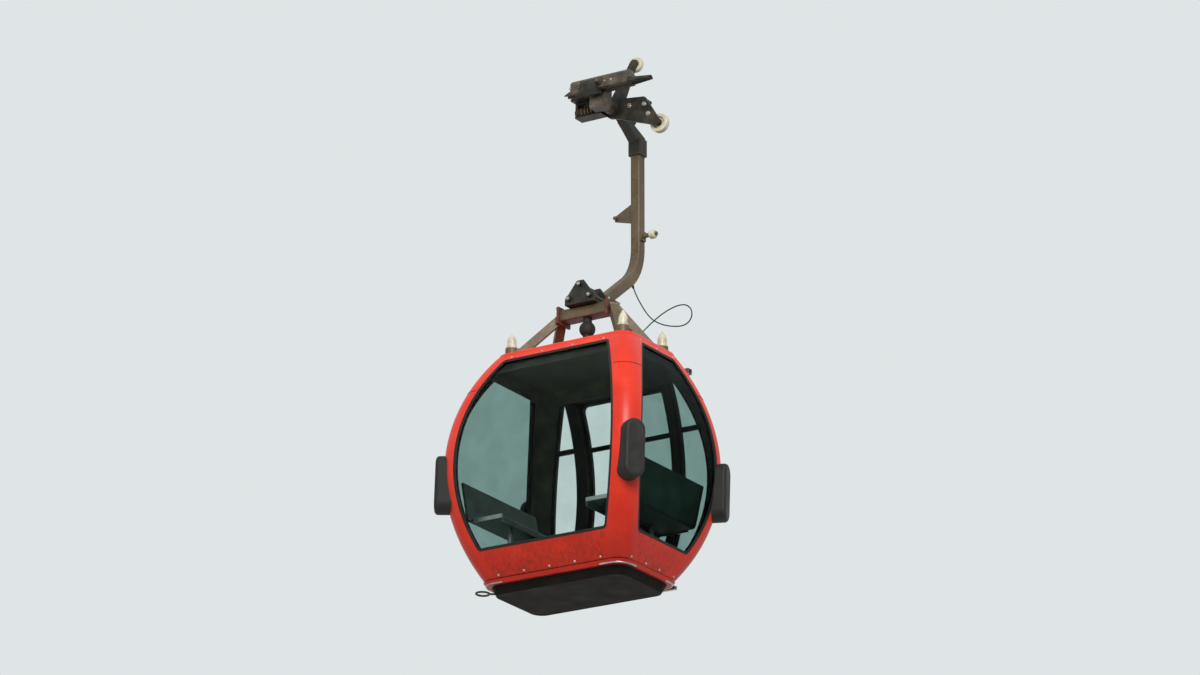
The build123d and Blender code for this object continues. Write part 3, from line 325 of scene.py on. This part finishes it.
finishes = {
    "body_red": enamel("sprayedRedEnamel", dirtAndShadeShare=0.15),
    # The sills are darker than the pillars: road dirt, and painted shade on their faces that look down
    "sill_red": enamel("dirtAndPaintedShadeRedEnamel", dirtAndShadeShare=0.9),
    "glazing": acrylic("castAcrylicClear", "#e8f1ef", "#e1ebe9"),
    # The end panes: lightly smoked, their teal partly a painted reflection of the sky
    "smokedWithPaintedSky": acrylic("smokedAcrylicPaintedSkyTeal", "#94ada8", "#8ba49f"),
    "galvanised": galvanised(),
    # Steel hub under old grease: brown, half matt
    "hub": plainFinish(
        "greasedSteelHub", ("#3a3024", "#594836", "#6e5b45"), (0.4, 0.6),
        metallic=0.4, patchMm=25, grainMm=2, grainDepth=0.2,
    ),
    # Zinc-plated bolts and nuts: pale, slightly yellowed where they are old
    "zinc": plainFinish(
        "zincPlatedBolt", ("#8e8a7c", "#b3afa2", "#cbc8bd"), (0.3, 0.45),
        metallic=0.75, patchMm=40, grainMm=2, grainDepth=0.05,
    ),
    # Weld metal, brushed and painted over with zinc paint
    "weld": plainFinish(
        "paintedWeldBead", ("#4a3f2f", "#5f543f", "#736750"), (0.45, 0.6),
        metallic=0.3, patchMm=18, grainMm=2, grainDepth=0.2,
    ),
    # Sand-cast steel under old black paint and grease: rough skin, worn brown
    "dark_steel": plainFinish(
        "greasyCastSteel", ("#1b1b16", "#2b2a23", "#43392e"), (0.38, 0.62),
        metallic=0.3, patchMm=90, grainMm=3.5, grainDepth=0.5,
    ),
    # The saddle's casting, handled more: grey-brown where the paint has gone
    "saddle": plainFinish(
        "wornCastSaddle", ("#37312a", "#51483d", "#6b6052"), (0.4, 0.6),
        metallic=0.35, patchMm=70, grainMm=3.5, grainDepth=0.5,
    ),
    # Sheet steel pan under black bitumen paint and road film: flat brown-black
    "pan": plainFinish(
        "bitumenPaintedSteel", ("#14110d", "#1c1814", "#28221c"), (0.55, 0.75),
        patchMm=160, grainMm=4, grainDepth=0.4, gloss=0.08,
    ),
    # Red oxide primer, brushed on and dulled
    "oxide": plainFinish(
        "brushedOxidePrimer", ("#3b1a14", "#552c22", "#6b3a2c"), (0.5, 0.7),
        patchMm=70, grainMm=4, grainDepth=0.3,
    ),
    # EPDM rubber, extruded: flat black with a bloom of dust
    "black_rubber": plainFinish(
        "extrudedBlackRubber", ("#121311", "#1c1d1a", "#2b2a26"), (0.5, 0.72),
        patchMm=110, grainMm=2, grainDepth=0.2, gloss=0.3,
    ),
    # Polyamide, moulded: warm ivory with a soft sheen, yellowed in patches
    "ivory": plainFinish(
        "mouldedIvoryPolyamide", ("#b3a988", "#c8c1a8", "#d6d0bc"), (0.3, 0.42),
        patchMm=60, grainMm=2, grainDepth=0.05,
    ),
    # Glass-fibre seat moulding: dark green-grey, satin from wear
    "bench": plainFinish(
        "mouldedSeatShell", ("#35403a", "#45524a", "#55635a"), (0.4, 0.55),
        patchMm=150, grainMm=4, grainDepth=0.05, gloss=0.25,
    ),
    # Anodised aluminium section: pale, slightly brushed
    "light_metal": plainFinish(
        "anodisedAluminium", ("#8d9291", "#a2a6a4", "#b5b8b5"), (0.28, 0.42),
        metallic=0.9, grainMm=2, grainDepth=0.05,
    ),
    # Textured vinyl on the inner walls and the ceiling: dark grey-brown, flat
    "lining": plainFinish(
        "texturedDarkLining", ("#3a3932", "#47453d", "#545147"), (0.55, 0.75),
        patchMm=140, grainMm=2, grainDepth=0.3, gloss=0.12,
    ),
    # Structure paint in near-black on the doors, their frame and the side rails
    "inner_dark": plainFinish(
        "darkStructurePaint", ("#1d1d19", "#282723", "#33322c"), (0.55, 0.75),
        patchMm=140, grainMm=2, grainDepth=0.3, gloss=0.12,
    ),
    # PVC sheath, extruded: black with a soft shine
    "cable": plainFinish(
        "extrudedCableSheath", ("#0e1718", "#162325", "#213033"), (0.35, 0.5),
        patchMm=30, grainMm=2, grainDepth=0.02,
    ),
}


def dress(thing, finish):
    thing.data.materials.clear()
    thing.data.materials.append(finish)


def dressFaces(name, finish, chosen):   # the chosen faces of a dressed node take another finish
    mesh = nodes[name].data
    mesh.materials.append(finish)
    for face in mesh.polygons:
        if chosen(face):
            face.material_index = 1


# Nodes whose finish isn't their slot's own
ownFinish = {
    # the end panes take the smoked acrylic, whose teal is partly a painted sky reflection
    "window_front": "smokedWithPaintedSky", "window_rear": "smokedWithPaintedSky",
    "sill_left": "sill_red", "sill_right": "sill_red", "sill_front": "sill_red", "sill_rear": "sill_red",
    "floor_pan": "pan", "ceiling": "lining", "grip_frame": "saddle",
}
slotOf = {row["node"]: row["material_slot"] for row in frame["record"]["subparts"]}
for name, node in nodes.items():
    dress(node, finishes[ownFinish.get(name, slotOf[name])])
dress(cable, finishes["cable"])

# The red panels are lined: their inner faces take the dark lining
bodyMiddle = Vector(camera["bodyMiddle"])
redPanels = ["top_frame", "bottom_lip"] + [name for name in nodes if name.startswith(("pillar_", "sill_"))]
for name in redPanels:
    dressFaces(name, finishes["lining"], lambda face: face.normal.dot(face.center - bodyMiddle) < 0)

# The wheels' hubs are steel under old grease
hubRadius = 0.029
wheelAxles = {"running_wheel": (0.41, -0.245), "coupling_roller": (0.17, 0.295)}   # x and z of each axle
for name, (x, z) in wheelAxles.items():
    dressFaces(name, finishes["hub"], lambda face: hypot(face.center.x - x, face.center.z - z) < hubRadius)
print("materials on", len(nodes), "nodes")


# Small pieces are set on the solids' own faces, found by a ray
def skinOf(*names):
    corners, faces = [], []
    for name in names:
        mesh = nodes[name].data
        start = len(corners)
        corners += [vertex.co.copy() for vertex in mesh.vertices]
        faces += [[start + index for index in face.vertices] for face in mesh.polygons]
    return BVHTree.FromPolygons(corners, faces)


def meet(skin, start, aim):   # the place where a ray meets the skin, and the outward normal there
    place, normal = skin.ray_cast(Vector(start), Vector(aim).normalized())[:2]
    if place is None:
        return None
    return place, normal if normal.dot(Vector(aim)) < 0 else -normal


# The panes' cut edges stand in their gaskets: they take the rubber's black. Lengths in millimetres.
paneEdge = {
    "panes": (
        "window_right", "window_front", "window_rear", "side_panes", "door_pane_front", "door_pane_rear",
    ),
    "start": 0.3,    # a ray starts this far behind its face
    "depth": 7.5,    # one through the pane's 5 mm ends within this, and one that starts on an edge doesn't
}


def onCutEdge(skin, face):
    reach = skin.ray_cast(face.center - face.normal * paneEdge["start"] * mm, -face.normal)[3]
    return reach is None or reach > paneEdge["depth"] * mm


for name in paneEdge["panes"]:
    skin = skinOf(name)
    dressFaces(name, finishes["black_rubber"], lambda face: onCutEdge(skin, face))
print("pane edges blacked")


# Geometry Nodes for what repeats or follows a path
def pointGuide(name, rows):   # rows: (place, facing)
    guide = bpy.data.meshes.new(name)
    guide.from_pydata([place for place, facing in rows], [], [])
    facings = guide.attributes.new("facing", "FLOAT_VECTOR", "POINT")
    for item, (place, facing) in zip(facings.data, rows):
        item.vector = facing
    return guide


def pathGuide(name, paths):   # paths: (points, closed)
    corners, edges = [], []
    for points, closed in paths:
        start = len(corners)
        corners += [tuple(point) for point in points]
        edges += [(start + i, start + i + 1) for i in range(len(points) - 1)]
        if closed:
            edges.append((start + len(points) - 1, start))
    guide = bpy.data.meshes.new(name)
    guide.from_pydata(corners, edges, [])
    return guide


def newTree(name, sockets):
    tree = bpy.data.node_groups.new(name, "GeometryNodeTree")
    tree.interface.new_socket(name="Guide", in_out="INPUT", socket_type="NodeSocketGeometry")
    for title, kind in sockets:
        tree.interface.new_socket(name=title, in_out="INPUT", socket_type="NodeSocket" + kind)
    tree.interface.new_socket(name="Made", in_out="OUTPUT", socket_type="NodeSocketGeometry")
    return tree, tree.nodes.new("NodeGroupInput").outputs


def closeTree(tree, shape, finish, smooth):
    real = addNode(tree, "GeometryNodeRealizeInstances", {"Geometry": shape}).outputs[0]
    shading = {"Geometry": real, "Shade Smooth": smooth}
    shaded = addNode(tree, "GeometryNodeSetShadeSmooth", shading).outputs[0]
    dyed = addNode(tree, "GeometryNodeSetMaterial", {"Geometry": shaded, "Material": finish}).outputs[0]
    addNode(tree, "NodeGroupOutput", {0: dyed})


def fastenerTree():
    # A washer and a head on every guide point, turned at random about the way it faces
    tree, given = newTree("fastenerRow", (
        ("headRadius", "Float"), ("topRadius", "Float"), ("headHeight", "Float"), ("sides", "Int"),
        ("washerRadius", "Float"), ("washerHeight", "Float"), ("washerSides", "Int"), ("seed", "Int"),
        ("finish", "Material"),
    ))
    head = addNode(tree, "GeometryNodeMeshCone", {
        "Vertices": given["sides"], "Radius Top": given["topRadius"], "Radius Bottom": given["headRadius"],
        "Depth": given["headHeight"],
    }).outputs["Mesh"]
    lift = addNode(tree, "ShaderNodeCombineXYZ", {"Z": given["washerHeight"]}).outputs[0]
    raised = addNode(tree, "GeometryNodeTransform", {"Geometry": head, "Translation": lift}).outputs[0]
    washer = addNode(tree, "GeometryNodeMeshCone", {
        "Vertices": given["washerSides"], "Radius Top": given["washerRadius"],
        "Radius Bottom": given["washerRadius"], "Depth": given["washerHeight"],
    }).outputs["Mesh"]
    both = addNode(tree, "GeometryNodeJoinGeometry", {0: raised})
    tree.links.new(washer, both.inputs[0])
    spin = addNode(tree, "FunctionNodeRandomValue", {
        0: (0, 0, 0), 1: (0, 0, 2 * pi), "Seed": given["seed"],
    }, data_type="FLOAT_VECTOR").outputs[0]
    turned = addNode(tree, "FunctionNodeEulerToRotation", {0: spin}).outputs[0]
    facing = addNode(tree, "GeometryNodeInputNamedAttribute", {"Name": "facing"},
                     data_type="FLOAT_VECTOR").outputs[0]
    aimed = addNode(tree, "FunctionNodeAlignRotationToVector", {"Rotation": turned, "Vector": facing},
                    axis="Z").outputs[0]
    points = addNode(tree, "GeometryNodeMeshToPoints", {"Mesh": given["Guide"]}).outputs[0]
    placed = addNode(tree, "GeometryNodeInstanceOnPoints", {
        "Points": points, "Instance": both.outputs[0], "Rotation": aimed,
    }).outputs[0]
    closeTree(tree, placed, given["finish"], False)
    return tree


def beadTree():
    # A round strip along every guide path: a weld bead, a seal or a moulding
    tree, given = newTree("beadAlongPath", (
        ("radius", "Float"), ("sides", "Int"), ("spacing", "Float"), ("ripple", "Float"),
        ("finish", "Material"),
    ))
    line = addNode(tree, "GeometryNodeMeshToCurve", {"Mesh": given["Guide"]}).outputs[0]
    even = addNode(tree, "GeometryNodeResampleCurve", {"Curve": line, "Length": given["spacing"]},
                   mode="LENGTH").outputs[0]
    count = addNode(tree, "GeometryNodeInputIndex").outputs[0]
    beat = addNode(tree, "ShaderNodeMath", {0: count, 1: 2.0}, operation="MODULO").outputs[0]
    swell = addNode(tree, "ShaderNodeMath", {0: beat, 1: given["ripple"], 2: 1.0},
                    operation="MULTIPLY_ADD").outputs[0]
    thick = addNode(tree, "GeometryNodeSetCurveRadius", {"Curve": even, "Radius": swell}).outputs[0]
    profile = addNode(tree, "GeometryNodeCurvePrimitiveCircle", {
        "Resolution": given["sides"], "Radius": given["radius"],
    }, mode="RADIUS").outputs[0]
    strip = addNode(tree, "GeometryNodeCurveToMesh", {
        "Curve": thick, "Profile Curve": profile, "Fill Caps": True,
    }).outputs[0]
    closeTree(tree, strip, given["finish"], True)
    return tree


def slatTree():
    # A field of equal bars: rows and columns of a block on a flat grid
    tree, given = newTree("slatField", (
        ("middle", "Vector"), ("spanX", "Float"), ("spanY", "Float"), ("countX", "Int"), ("countY", "Int"),
        ("block", "Vector"), ("finish", "Material"),
    ))
    grid = addNode(tree, "GeometryNodeMeshGrid", {
        "Size X": given["spanX"], "Size Y": given["spanY"],
        "Vertices X": given["countX"], "Vertices Y": given["countY"],
    }).outputs["Mesh"]
    shift = {"Geometry": grid, "Translation": given["middle"]}
    placed = addNode(tree, "GeometryNodeTransform", shift).outputs[0]
    points = addNode(tree, "GeometryNodeMeshToPoints", {"Mesh": placed}).outputs[0]
    bar = addNode(tree, "GeometryNodeMeshCube", {"Size": given["block"]}).outputs["Mesh"]
    bars = addNode(tree, "GeometryNodeInstanceOnPoints", {"Points": points, "Instance": bar}).outputs[0]
    closeTree(tree, bars, given["finish"], False)
    return tree


trees = {"fasteners": fastenerTree(), "bead": beadTree(), "slats": slatTree()}


def grow(name, kind, guide, body, slot, finish, **values):   # runs a tree and keeps a plain mesh
    tree = trees[kind]
    holder = link(bpy.data.objects.new(name + "Guide", guide))
    modifier = holder.modifiers.new("maker", "NODES")
    modifier.node_group = tree
    values["finish"] = finish
    for item in tree.interface.items_tree:
        if item.in_out == "INPUT" and item.name in values:
            modifier[item.identifier] = values[item.name]
    grown = holder.evaluated_get(bpy.context.evaluated_depsgraph_get())
    mesh = bpy.data.meshes.new_from_object(grown)
    bpy.data.objects.remove(holder)
    mesh.name = name
    piece = link(bpy.data.objects.new(name, mesh))
    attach(piece, body)


# What all fasteners share. Here, and in the heads that follow, radii and heights are in millimetres.
fastener = {"washerHeight": 1.2, "washerSides": 14, "seed": 7}


def headShape(radius, top, height, sides, washer):
    return {
        "headRadius": radius, "topRadius": top, "headHeight": height, "sides": sides,
        "washerRadius": washer,
    }


def panHead(radius, top, height, washer):
    return headShape(radius, top, height, 12, washer)


def hexHead(radius, height, washer):
    return headShape(radius, radius, height, 6, washer)


def screws(name, rows, body, slot, head):
    values = {key: value if key in ("sides", "washerSides", "seed") else value * mm
              for key, value in {**fastener, **head}.items()}
    grow(name, "fasteners", pointGuide(name, rows), body, slot, finishes["zinc"], **values)


def beads(name, paths, body, slot, finish, radius, spacing=12, ripple=0.0):
    grow(name, "bead", pathGuide(name, paths), body, slot, finish, radius=radius * mm, sides=8,
         spacing=spacing * mm, ripple=ripple)


def toward(skin, start, aim, keep=None):
    # One row for a screw, or none where the ray misses the face that it should meet
    hit = meet(skin, start, aim)
    if hit is None or (keep and not keep(hit[0])):
        return []
    return [hit]


def ring(skin, centre, first, second, reach, count, sweepDeg=(0, 360), sink=0.0):
    # Points round an axis: rays run in from reach, along every direction between first and second
    start, stop = sweepDeg
    gaps = count if stop - start == 360 else count - 1
    found = []
    for step in range(count):
        turn = radians(start + (stop - start) * step / gaps)
        way = Vector(first) * cos(turn) + Vector(second) * sin(turn)
        hit = meet(skin, Vector(centre) + way * reach, -way)
        if hit:
            found.append(hit[0] - way * sink)
    return found


def climb(skin, x, y, aim, low, high, count, sink=0.0):
    # Points up a face: a ray along aim at each level
    found = []
    for step in range(count):
        hit = meet(skin, (x, y, low + (high - low) * step / (count - 1)), aim)
        if hit:
            found.append(hit[0] + Vector(aim) * sink)
    return found


# Panel screws: pan heads round the sills and the header. Levels are from the body's middle.
panel = {
    "sillLevel": -0.845,
    "sillX": (-0.46, -0.23, 0.0, 0.23, 0.46),
    "sillY": (-0.28, -0.09, 0.09, 0.28),
    "headerLevel": 0.882,
    "headerX": (-0.42, -0.14, 0.14, 0.42),
    "headerY": (-0.22, 0.0, 0.22),
    "fromX": 1.1, "fromY": 0.9,    # the rays start out here
    "head": panHead(6.5, 4, 3, 9),
}


def makePanelScrews():
    skin = skinOf(*redPanels)
    rows = []
    for level, alongX, alongY in (
        (panel["sillLevel"], panel["sillX"], panel["sillY"]),
        (panel["headerLevel"], panel["headerX"], panel["headerY"]),
    ):
        z = bodyMiddle.z + level
        for x in alongX:
            for side in (-1, 1):
                rows += toward(skin, (x, side * panel["fromY"], z), (0, -side, 0))
        for y in alongY:
            for side in (-1, 1):
                rows += toward(skin, (side * panel["fromX"], y, z), (-side, 0, 0))
    screws("panelScrews", rows, "cabin", "light_metal", panel["head"])
    print("panel screws:", len(rows))


makePanelScrews()


# The pillars' caps meet the pillars in a dark joint, and the lip's corners wear an aluminium strip.
# Places are from the body's middle, and radii in millimetres.
corner = {
    "reach": 0.9,                       # the rays start this far from the corner's middle
    "jointPlace": (0.6075, 0.3675, 0.5985),
    "jointSweep": (-35, 125), "jointCount": 28, "jointSink": 0.0015,
    "jointFromX": 0.55, "jointFromY": 0.36,     # points further in lie on the windows' edges
    "jointRadius": 4.0,
    "stripPlace": (0.45, 0.21, -0.893),
    "stripSweep": (-4, 94), "stripCount": 26, "stripSink": 0.002,
    "stripRadius": 7.0,
}


def makeCornerTrim():
    skin = skinOf("top_frame", "bottom_lip", *[name for name in nodes if name.startswith("pillar_")])
    joints, strips = [], []
    for sideX in (-1, 1):
        for sideY in (-1, 1):
            first, second = (sideX, 0, 0), (0, sideY, 0)
            flip = Vector((sideX, sideY, 1))
            centre = bodyMiddle + Vector(corner["jointPlace"]) * flip
            seam = ring(skin, centre, first, second, corner["reach"], corner["jointCount"],
                        corner["jointSweep"], corner["jointSink"])
            outside = [point for point in seam
                       if point.x * sideX > corner["jointFromX"] and point.y * sideY > corner["jointFromY"]]
            joints.append((outside, False))
            centre = bodyMiddle + Vector(corner["stripPlace"]) * flip
            edge = ring(skin, centre, first, second, corner["reach"], corner["stripCount"],
                        corner["stripSweep"], corner["stripSink"])
            strips.append((edge, False))
    beads("capJointSeals", joints, "cabin", "black_rubber", finishes["black_rubber"], corner["jointRadius"])
    beads("lipCornerStrips", strips, "cabin", "light_metal", finishes["light_metal"], corner["stripRadius"])
    print("corner trim on")


makeCornerTrim()


# Door leaves: a rubber nosing down each meeting edge. Levels are from the body's middle.
nosing = {
    "fromMeeting": 0.0045,
    "fromY": 1.2,
    "bottom": -0.83, "top": 0.79,
    "count": 40,
    "sink": 0.0043,
    "radius": 4.0,      # in millimetres
}


def makeNosings():
    low, high = bodyMiddle.z + nosing["bottom"], bodyMiddle.z + nosing["top"]
    for end, side in (("front", 1), ("rear", -1)):
        skin = skinOf("door_leaf_" + end, "door_kick_" + end)
        line = climb(skin, side * nosing["fromMeeting"], nosing["fromY"], (0, -1, 0), low, high,
                     nosing["count"], nosing["sink"])
        beads("leafNosing_" + end, [(line, False)], "door_" + end, "black_rubber", finishes["black_rubber"],
              nosing["radius"])
    print("door nosings on")


makeNosings()


# Hanger: weld beads, and the bolts that hold the flanges, the suspension's base and its cross pins.
# Places are in metres, and the weld's radius and spacing in millimetres.
hanger = {
    "tubeTop": (0.603, -0.27), "tubeFoot": (0.655, -1.29),   # y and z on the tube's middle line
    "socketCount": 36, "socketDrop": 0.004, "socketReach": 0.3, "socketSink": 0.002,
    "gussetX": -0.3, "gussetY": (0.620, 0.636), "gussetLow": -0.87, "gussetHigh": -0.71, "gussetCount": 18,
    "weldRadius": 5.0, "weldSpacing": 7, "weldRipple": 0.28,     # the ripple is a share of the radius
    "flangeX": 0.4, "flangeY": 0.071, "flangeZ": (-1.886, -1.774),
    "flangeFace": 0.235, "flangeSlack": 0.002,      # a bolt's ray has to end this near to its face
    "baseX": 0.105, "baseY": 0.085, "baseFrom": -1.70,
    "baseFace": -1.773, "baseSlack": 0.003,
    "pins": ((0.0, -1.634), (-0.095, -1.737), (0.095, -1.737)),   # x and z
    "pinFrom": 0.3,
    "pinFace": 0.145,
    "bolt": hexHead(9.5, 7, 10.5),
    "pinNut": hexHead(12, 9, 14),
}


def makeHangerTrim():
    tube = skinOf("hanger_tube", "hanger_arm")
    (topY, topZ), (footY, footZ) = hanger["tubeTop"], hanger["tubeFoot"]
    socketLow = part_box("hanger_head")[0][2]
    tubeY = topY + (footY - topY) * (topZ - socketLow) / (topZ - footZ)
    socket = ring(tube, (0, tubeY, socketLow - hanger["socketDrop"]), (1, 0, 0), (0, 1, 0),
                  hanger["socketReach"], hanger["socketCount"], sink=hanger["socketSink"])
    welds = [(socket, True)]
    for y in hanger["gussetY"]:
        line = climb(tube, hanger["gussetX"], y, (1, 0, 0), hanger["gussetLow"], hanger["gussetHigh"],
                     hanger["gussetCount"])
        welds.append((line, False))
    beads("hangerWelds", welds, "cabin", "galvanised", finishes["weld"], hanger["weldRadius"],
          hanger["weldSpacing"], hanger["weldRipple"])

    def onFlange(place):
        return abs(abs(place.x) - hanger["flangeFace"]) < hanger["flangeSlack"]

    def onBase(place):
        return abs(place.z - hanger["baseFace"]) < hanger["baseSlack"]

    def onPin(place):
        return abs(place.y) < hanger["pinFace"]

    flange = skinOf("beam_flanges", "spider_arms", "hub_beam")
    rows = []
    for side in (-1, 1):
        for y in (-hanger["flangeY"], hanger["flangeY"]):
            for z in hanger["flangeZ"]:
                rows += toward(flange, (side * hanger["flangeX"], y, z), (-side, 0, 0), onFlange)
    base = skinOf("suspension_head", "hanger_arm", "hub_beam")
    for x in (-hanger["baseX"], hanger["baseX"]):
        for y in (-hanger["baseY"], hanger["baseY"]):
            rows += toward(base, (x, y, hanger["baseFrom"]), (0, 0, -1), onBase)
    screws("hangerBolts", rows, "cabin", "galvanised", hanger["bolt"])

    pins = []
    for x, z in hanger["pins"]:
        for side in (-1, 1):
            pins += toward(base, (x, side * hanger["pinFrom"], z), (0, -side, 0), onPin)
    screws("suspensionPinNuts", pins, "cabin", "galvanised", hanger["pinNut"])
    print("hanger bolts:", len(rows) + len(pins))


makeHangerTrim()


# Grip: cap screws in the saddle and the cage, and bolts on the wheel arm and in both wheels' webs
grip = {
    "saddleX": (-0.20, -0.12, 0.12, 0.18), "saddleZ": 0.045, "saddleFrom": -0.4,
    "saddleFace": 0.02,
    "cageY": (0.148, 0.216), "cageZ": (-0.018, -0.112), "cageFrom": -0.5,
    "armBolts": ((0.163, -0.068), (0.30, -0.082), (0.34, -0.17)),    # x and z
    "capScrew": hexHead(7, 6, 9),
    "armBolt": hexHead(15, 10, 20),
    "webFrom": ((0.2, 1), (0.4, -1)),    # y on each side of a wheel, and the way from there to its web
}
# For each wheel: the bolts' name, their circle's radius, how many they are, and their head
webBolts = {
    "running_wheel": ("runningWheelBolts", 0.047, 6, hexHead(4.5, 4, 6)),
    "coupling_roller": ("couplingRollerBolts", 0.036, 5, hexHead(3.5, 3, 5)),
}


def onCircle(skin, centre, radius, count, y, aimY):
    rows = []
    for step in range(count):
        turn = radians(360 * step / count)
        start = (centre[0] + radius * cos(turn), y, centre[1] + radius * sin(turn))
        rows += toward(skin, start, (0, aimY, 0))
    return rows


def makeGripTrim():
    skin = skinOf("grip_frame", "spring_cage", "wheel_arm", "coupling_lever")
    rows = []
    for x in grip["saddleX"]:
        rows += toward(skin, (x, grip["saddleFrom"], grip["saddleZ"]), (0, 1, 0),
                       lambda place: place.y < grip["saddleFace"])
    for y in grip["cageY"]:
        for z in grip["cageZ"]:
            rows += toward(skin, (grip["cageFrom"], y, z), (1, 0, 0))
    screws("gripBolts", rows, "grip", "galvanised", grip["capScrew"])
    for wheel, (name, radius, count, head) in webBolts.items():
        skin = skinOf(wheel)
        rows = []
        for y, aimY in grip["webFrom"]:
            rows += onCircle(skin, wheelAxles[wheel], radius, count, y, aimY)
        screws(name, rows, wheel, "galvanised", head)
    arm = skinOf("wheel_arm")
    rows = [row for x, z in grip["armBolts"] for row in toward(arm, (x, 0.0, z), (0, 1, 0))]
    screws("wheelArmBolts", rows, "grip", "galvanised", grip["armBolt"])
    print("grip bolts on")


makeGripTrim()


# Inside: ribs across the seats and a ribbed mat in the aisle
inside = {
    "matMiddle": (0.0, 0.0, -3.9545), "matSpan": 0.66, "matRib": (0.008, 0.52, 0.0025), "matRibs": 24,
    "seatX": 0.50, "seatLevel": -3.5245, "seatSpan": 0.17, "seatRib": (0.009, 0.80, 0.0028), "seatRibs": 8,
}


def ribs(name, middle, length, count, block, slot):   # one row of ribs along X
    guide = pointGuide(name, [((0, 0, 0), (0, 0, 1))])   # the tree needs a mesh, and reads nothing from it
    grow(name, "slats", guide, "cabin", slot, finishes[slot], middle=middle, spanX=length, spanY=0.0,
         countX=count, countY=1, block=block)


def makeInside():
    ribs("aisleMat", inside["matMiddle"], inside["matSpan"], inside["matRibs"], inside["matRib"],
         "black_rubber")
    for end, side in (("front", 1), ("rear", -1)):
        ribs("seatRibs_" + end, (side * inside["seatX"], 0.0, inside["seatLevel"]), inside["seatSpan"],
             inside["seatRibs"], inside["seatRib"], "bench")
    print("ribs laid inside")


makeInside()


# Floor, daylight and three soft lamps
studio = {
    "floorSize": 160.0,
    "floorColour": "#e4e5e3",
    "floorBounce": "#8f8f8c",    # what the floor throws back at the object
    "floorLift": 0.42,           # brings the floor up to the backdrop, for the eye alone
    "floorRoughness": 0.8,
    "backColour": "#dfe5e6",
    "daylight": 0.55,
    "lampAim": (0, 0, -2.4),
    "lamps": (                   # name, place, size, watts, whether gloss shows it
        ("keyLamp", (8.2, -9.2, 2.4), 6.0, 1450, True),
        ("fillLamp", (-9.0, -8.0, 1.0), 7.0, 300, False),
        ("backLamp", (-3.0, 10.0, 4.0), 7.0, 620, False),
    ),
}


def eyeRays(tree):
    # 1 for what the eye sees, also in a mirror or through glass, and 0 for light that bounces
    rays = addNode(tree, "ShaderNodeLightPath").outputs
    seen = rays["Is Camera Ray"]
    for kind in ("Is Glossy Ray", "Is Transmission Ray"):
        seen = addNode(tree, "ShaderNodeMath", {0: seen, 1: rays[kind]}, operation="MAXIMUM").outputs[0]
    return seen


def makeFloor():
    bpy.ops.mesh.primitive_plane_add(size=studio["floorSize"], location=(0, 0, floorLevel))
    floor = bpy.context.object
    floor.name = "studioFloor"
    made, tree, shader = newMaterial("paleFloor")[:3]
    seen = eyeRays(tree)
    wire(tree, shader, colour=blendColours(tree, seen, studio["floorBounce"], studio["floorColour"]),
         roughness=studio["floorRoughness"])
    shader.inputs["Emission Color"].default_value = paintHex(studio["backColour"])
    lift = addNode(tree, "ShaderNodeMath", {0: seen, 1: studio["floorLift"]}, operation="MULTIPLY")
    tree.links.new(lift.outputs[0], shader.inputs["Emission Strength"])
    dress(floor, made)


def makeDaylight():
    world = bpy.data.worlds.new("studioWorld")
    bpy.context.scene.world = world
    world.use_nodes = True
    tree = world.node_tree
    tree.nodes.clear()
    lit = addNode(tree, "ShaderNodeBackground", {"Color": (1, 1, 1, 1), "Strength": studio["daylight"]})
    back = addNode(tree, "ShaderNodeBackground", {"Color": paintHex(studio["backColour"]), "Strength": 1.0})
    both = addNode(tree, "ShaderNodeMixShader", {0: eyeRays(tree), 1: lit.outputs[0], 2: back.outputs[0]})
    addNode(tree, "ShaderNodeOutputWorld", {"Surface": both.outputs[0]})


def makeLamps():
    for name, place, size, watts, inGloss in studio["lamps"]:
        data = bpy.data.lights.new(name, "AREA")
        data.size = size
        data.energy = watts
        lamp = link(bpy.data.objects.new(name, data))
        lamp.visible_glossy = inGloss
        lamp.visible_transmission = False   # else a lamp shows as a white patch through the panes
        lamp.location = place
        lamp.rotation_mode = "QUATERNION"
        lamp.rotation_quaternion = (Vector(studio["lampAim"]) - Vector(place)).to_track_quat("-Z", "Y")


makeFloor()
makeDaylight()
makeLamps()
bpy.context.scene.view_settings.view_transform = "Standard"
print("studio set")
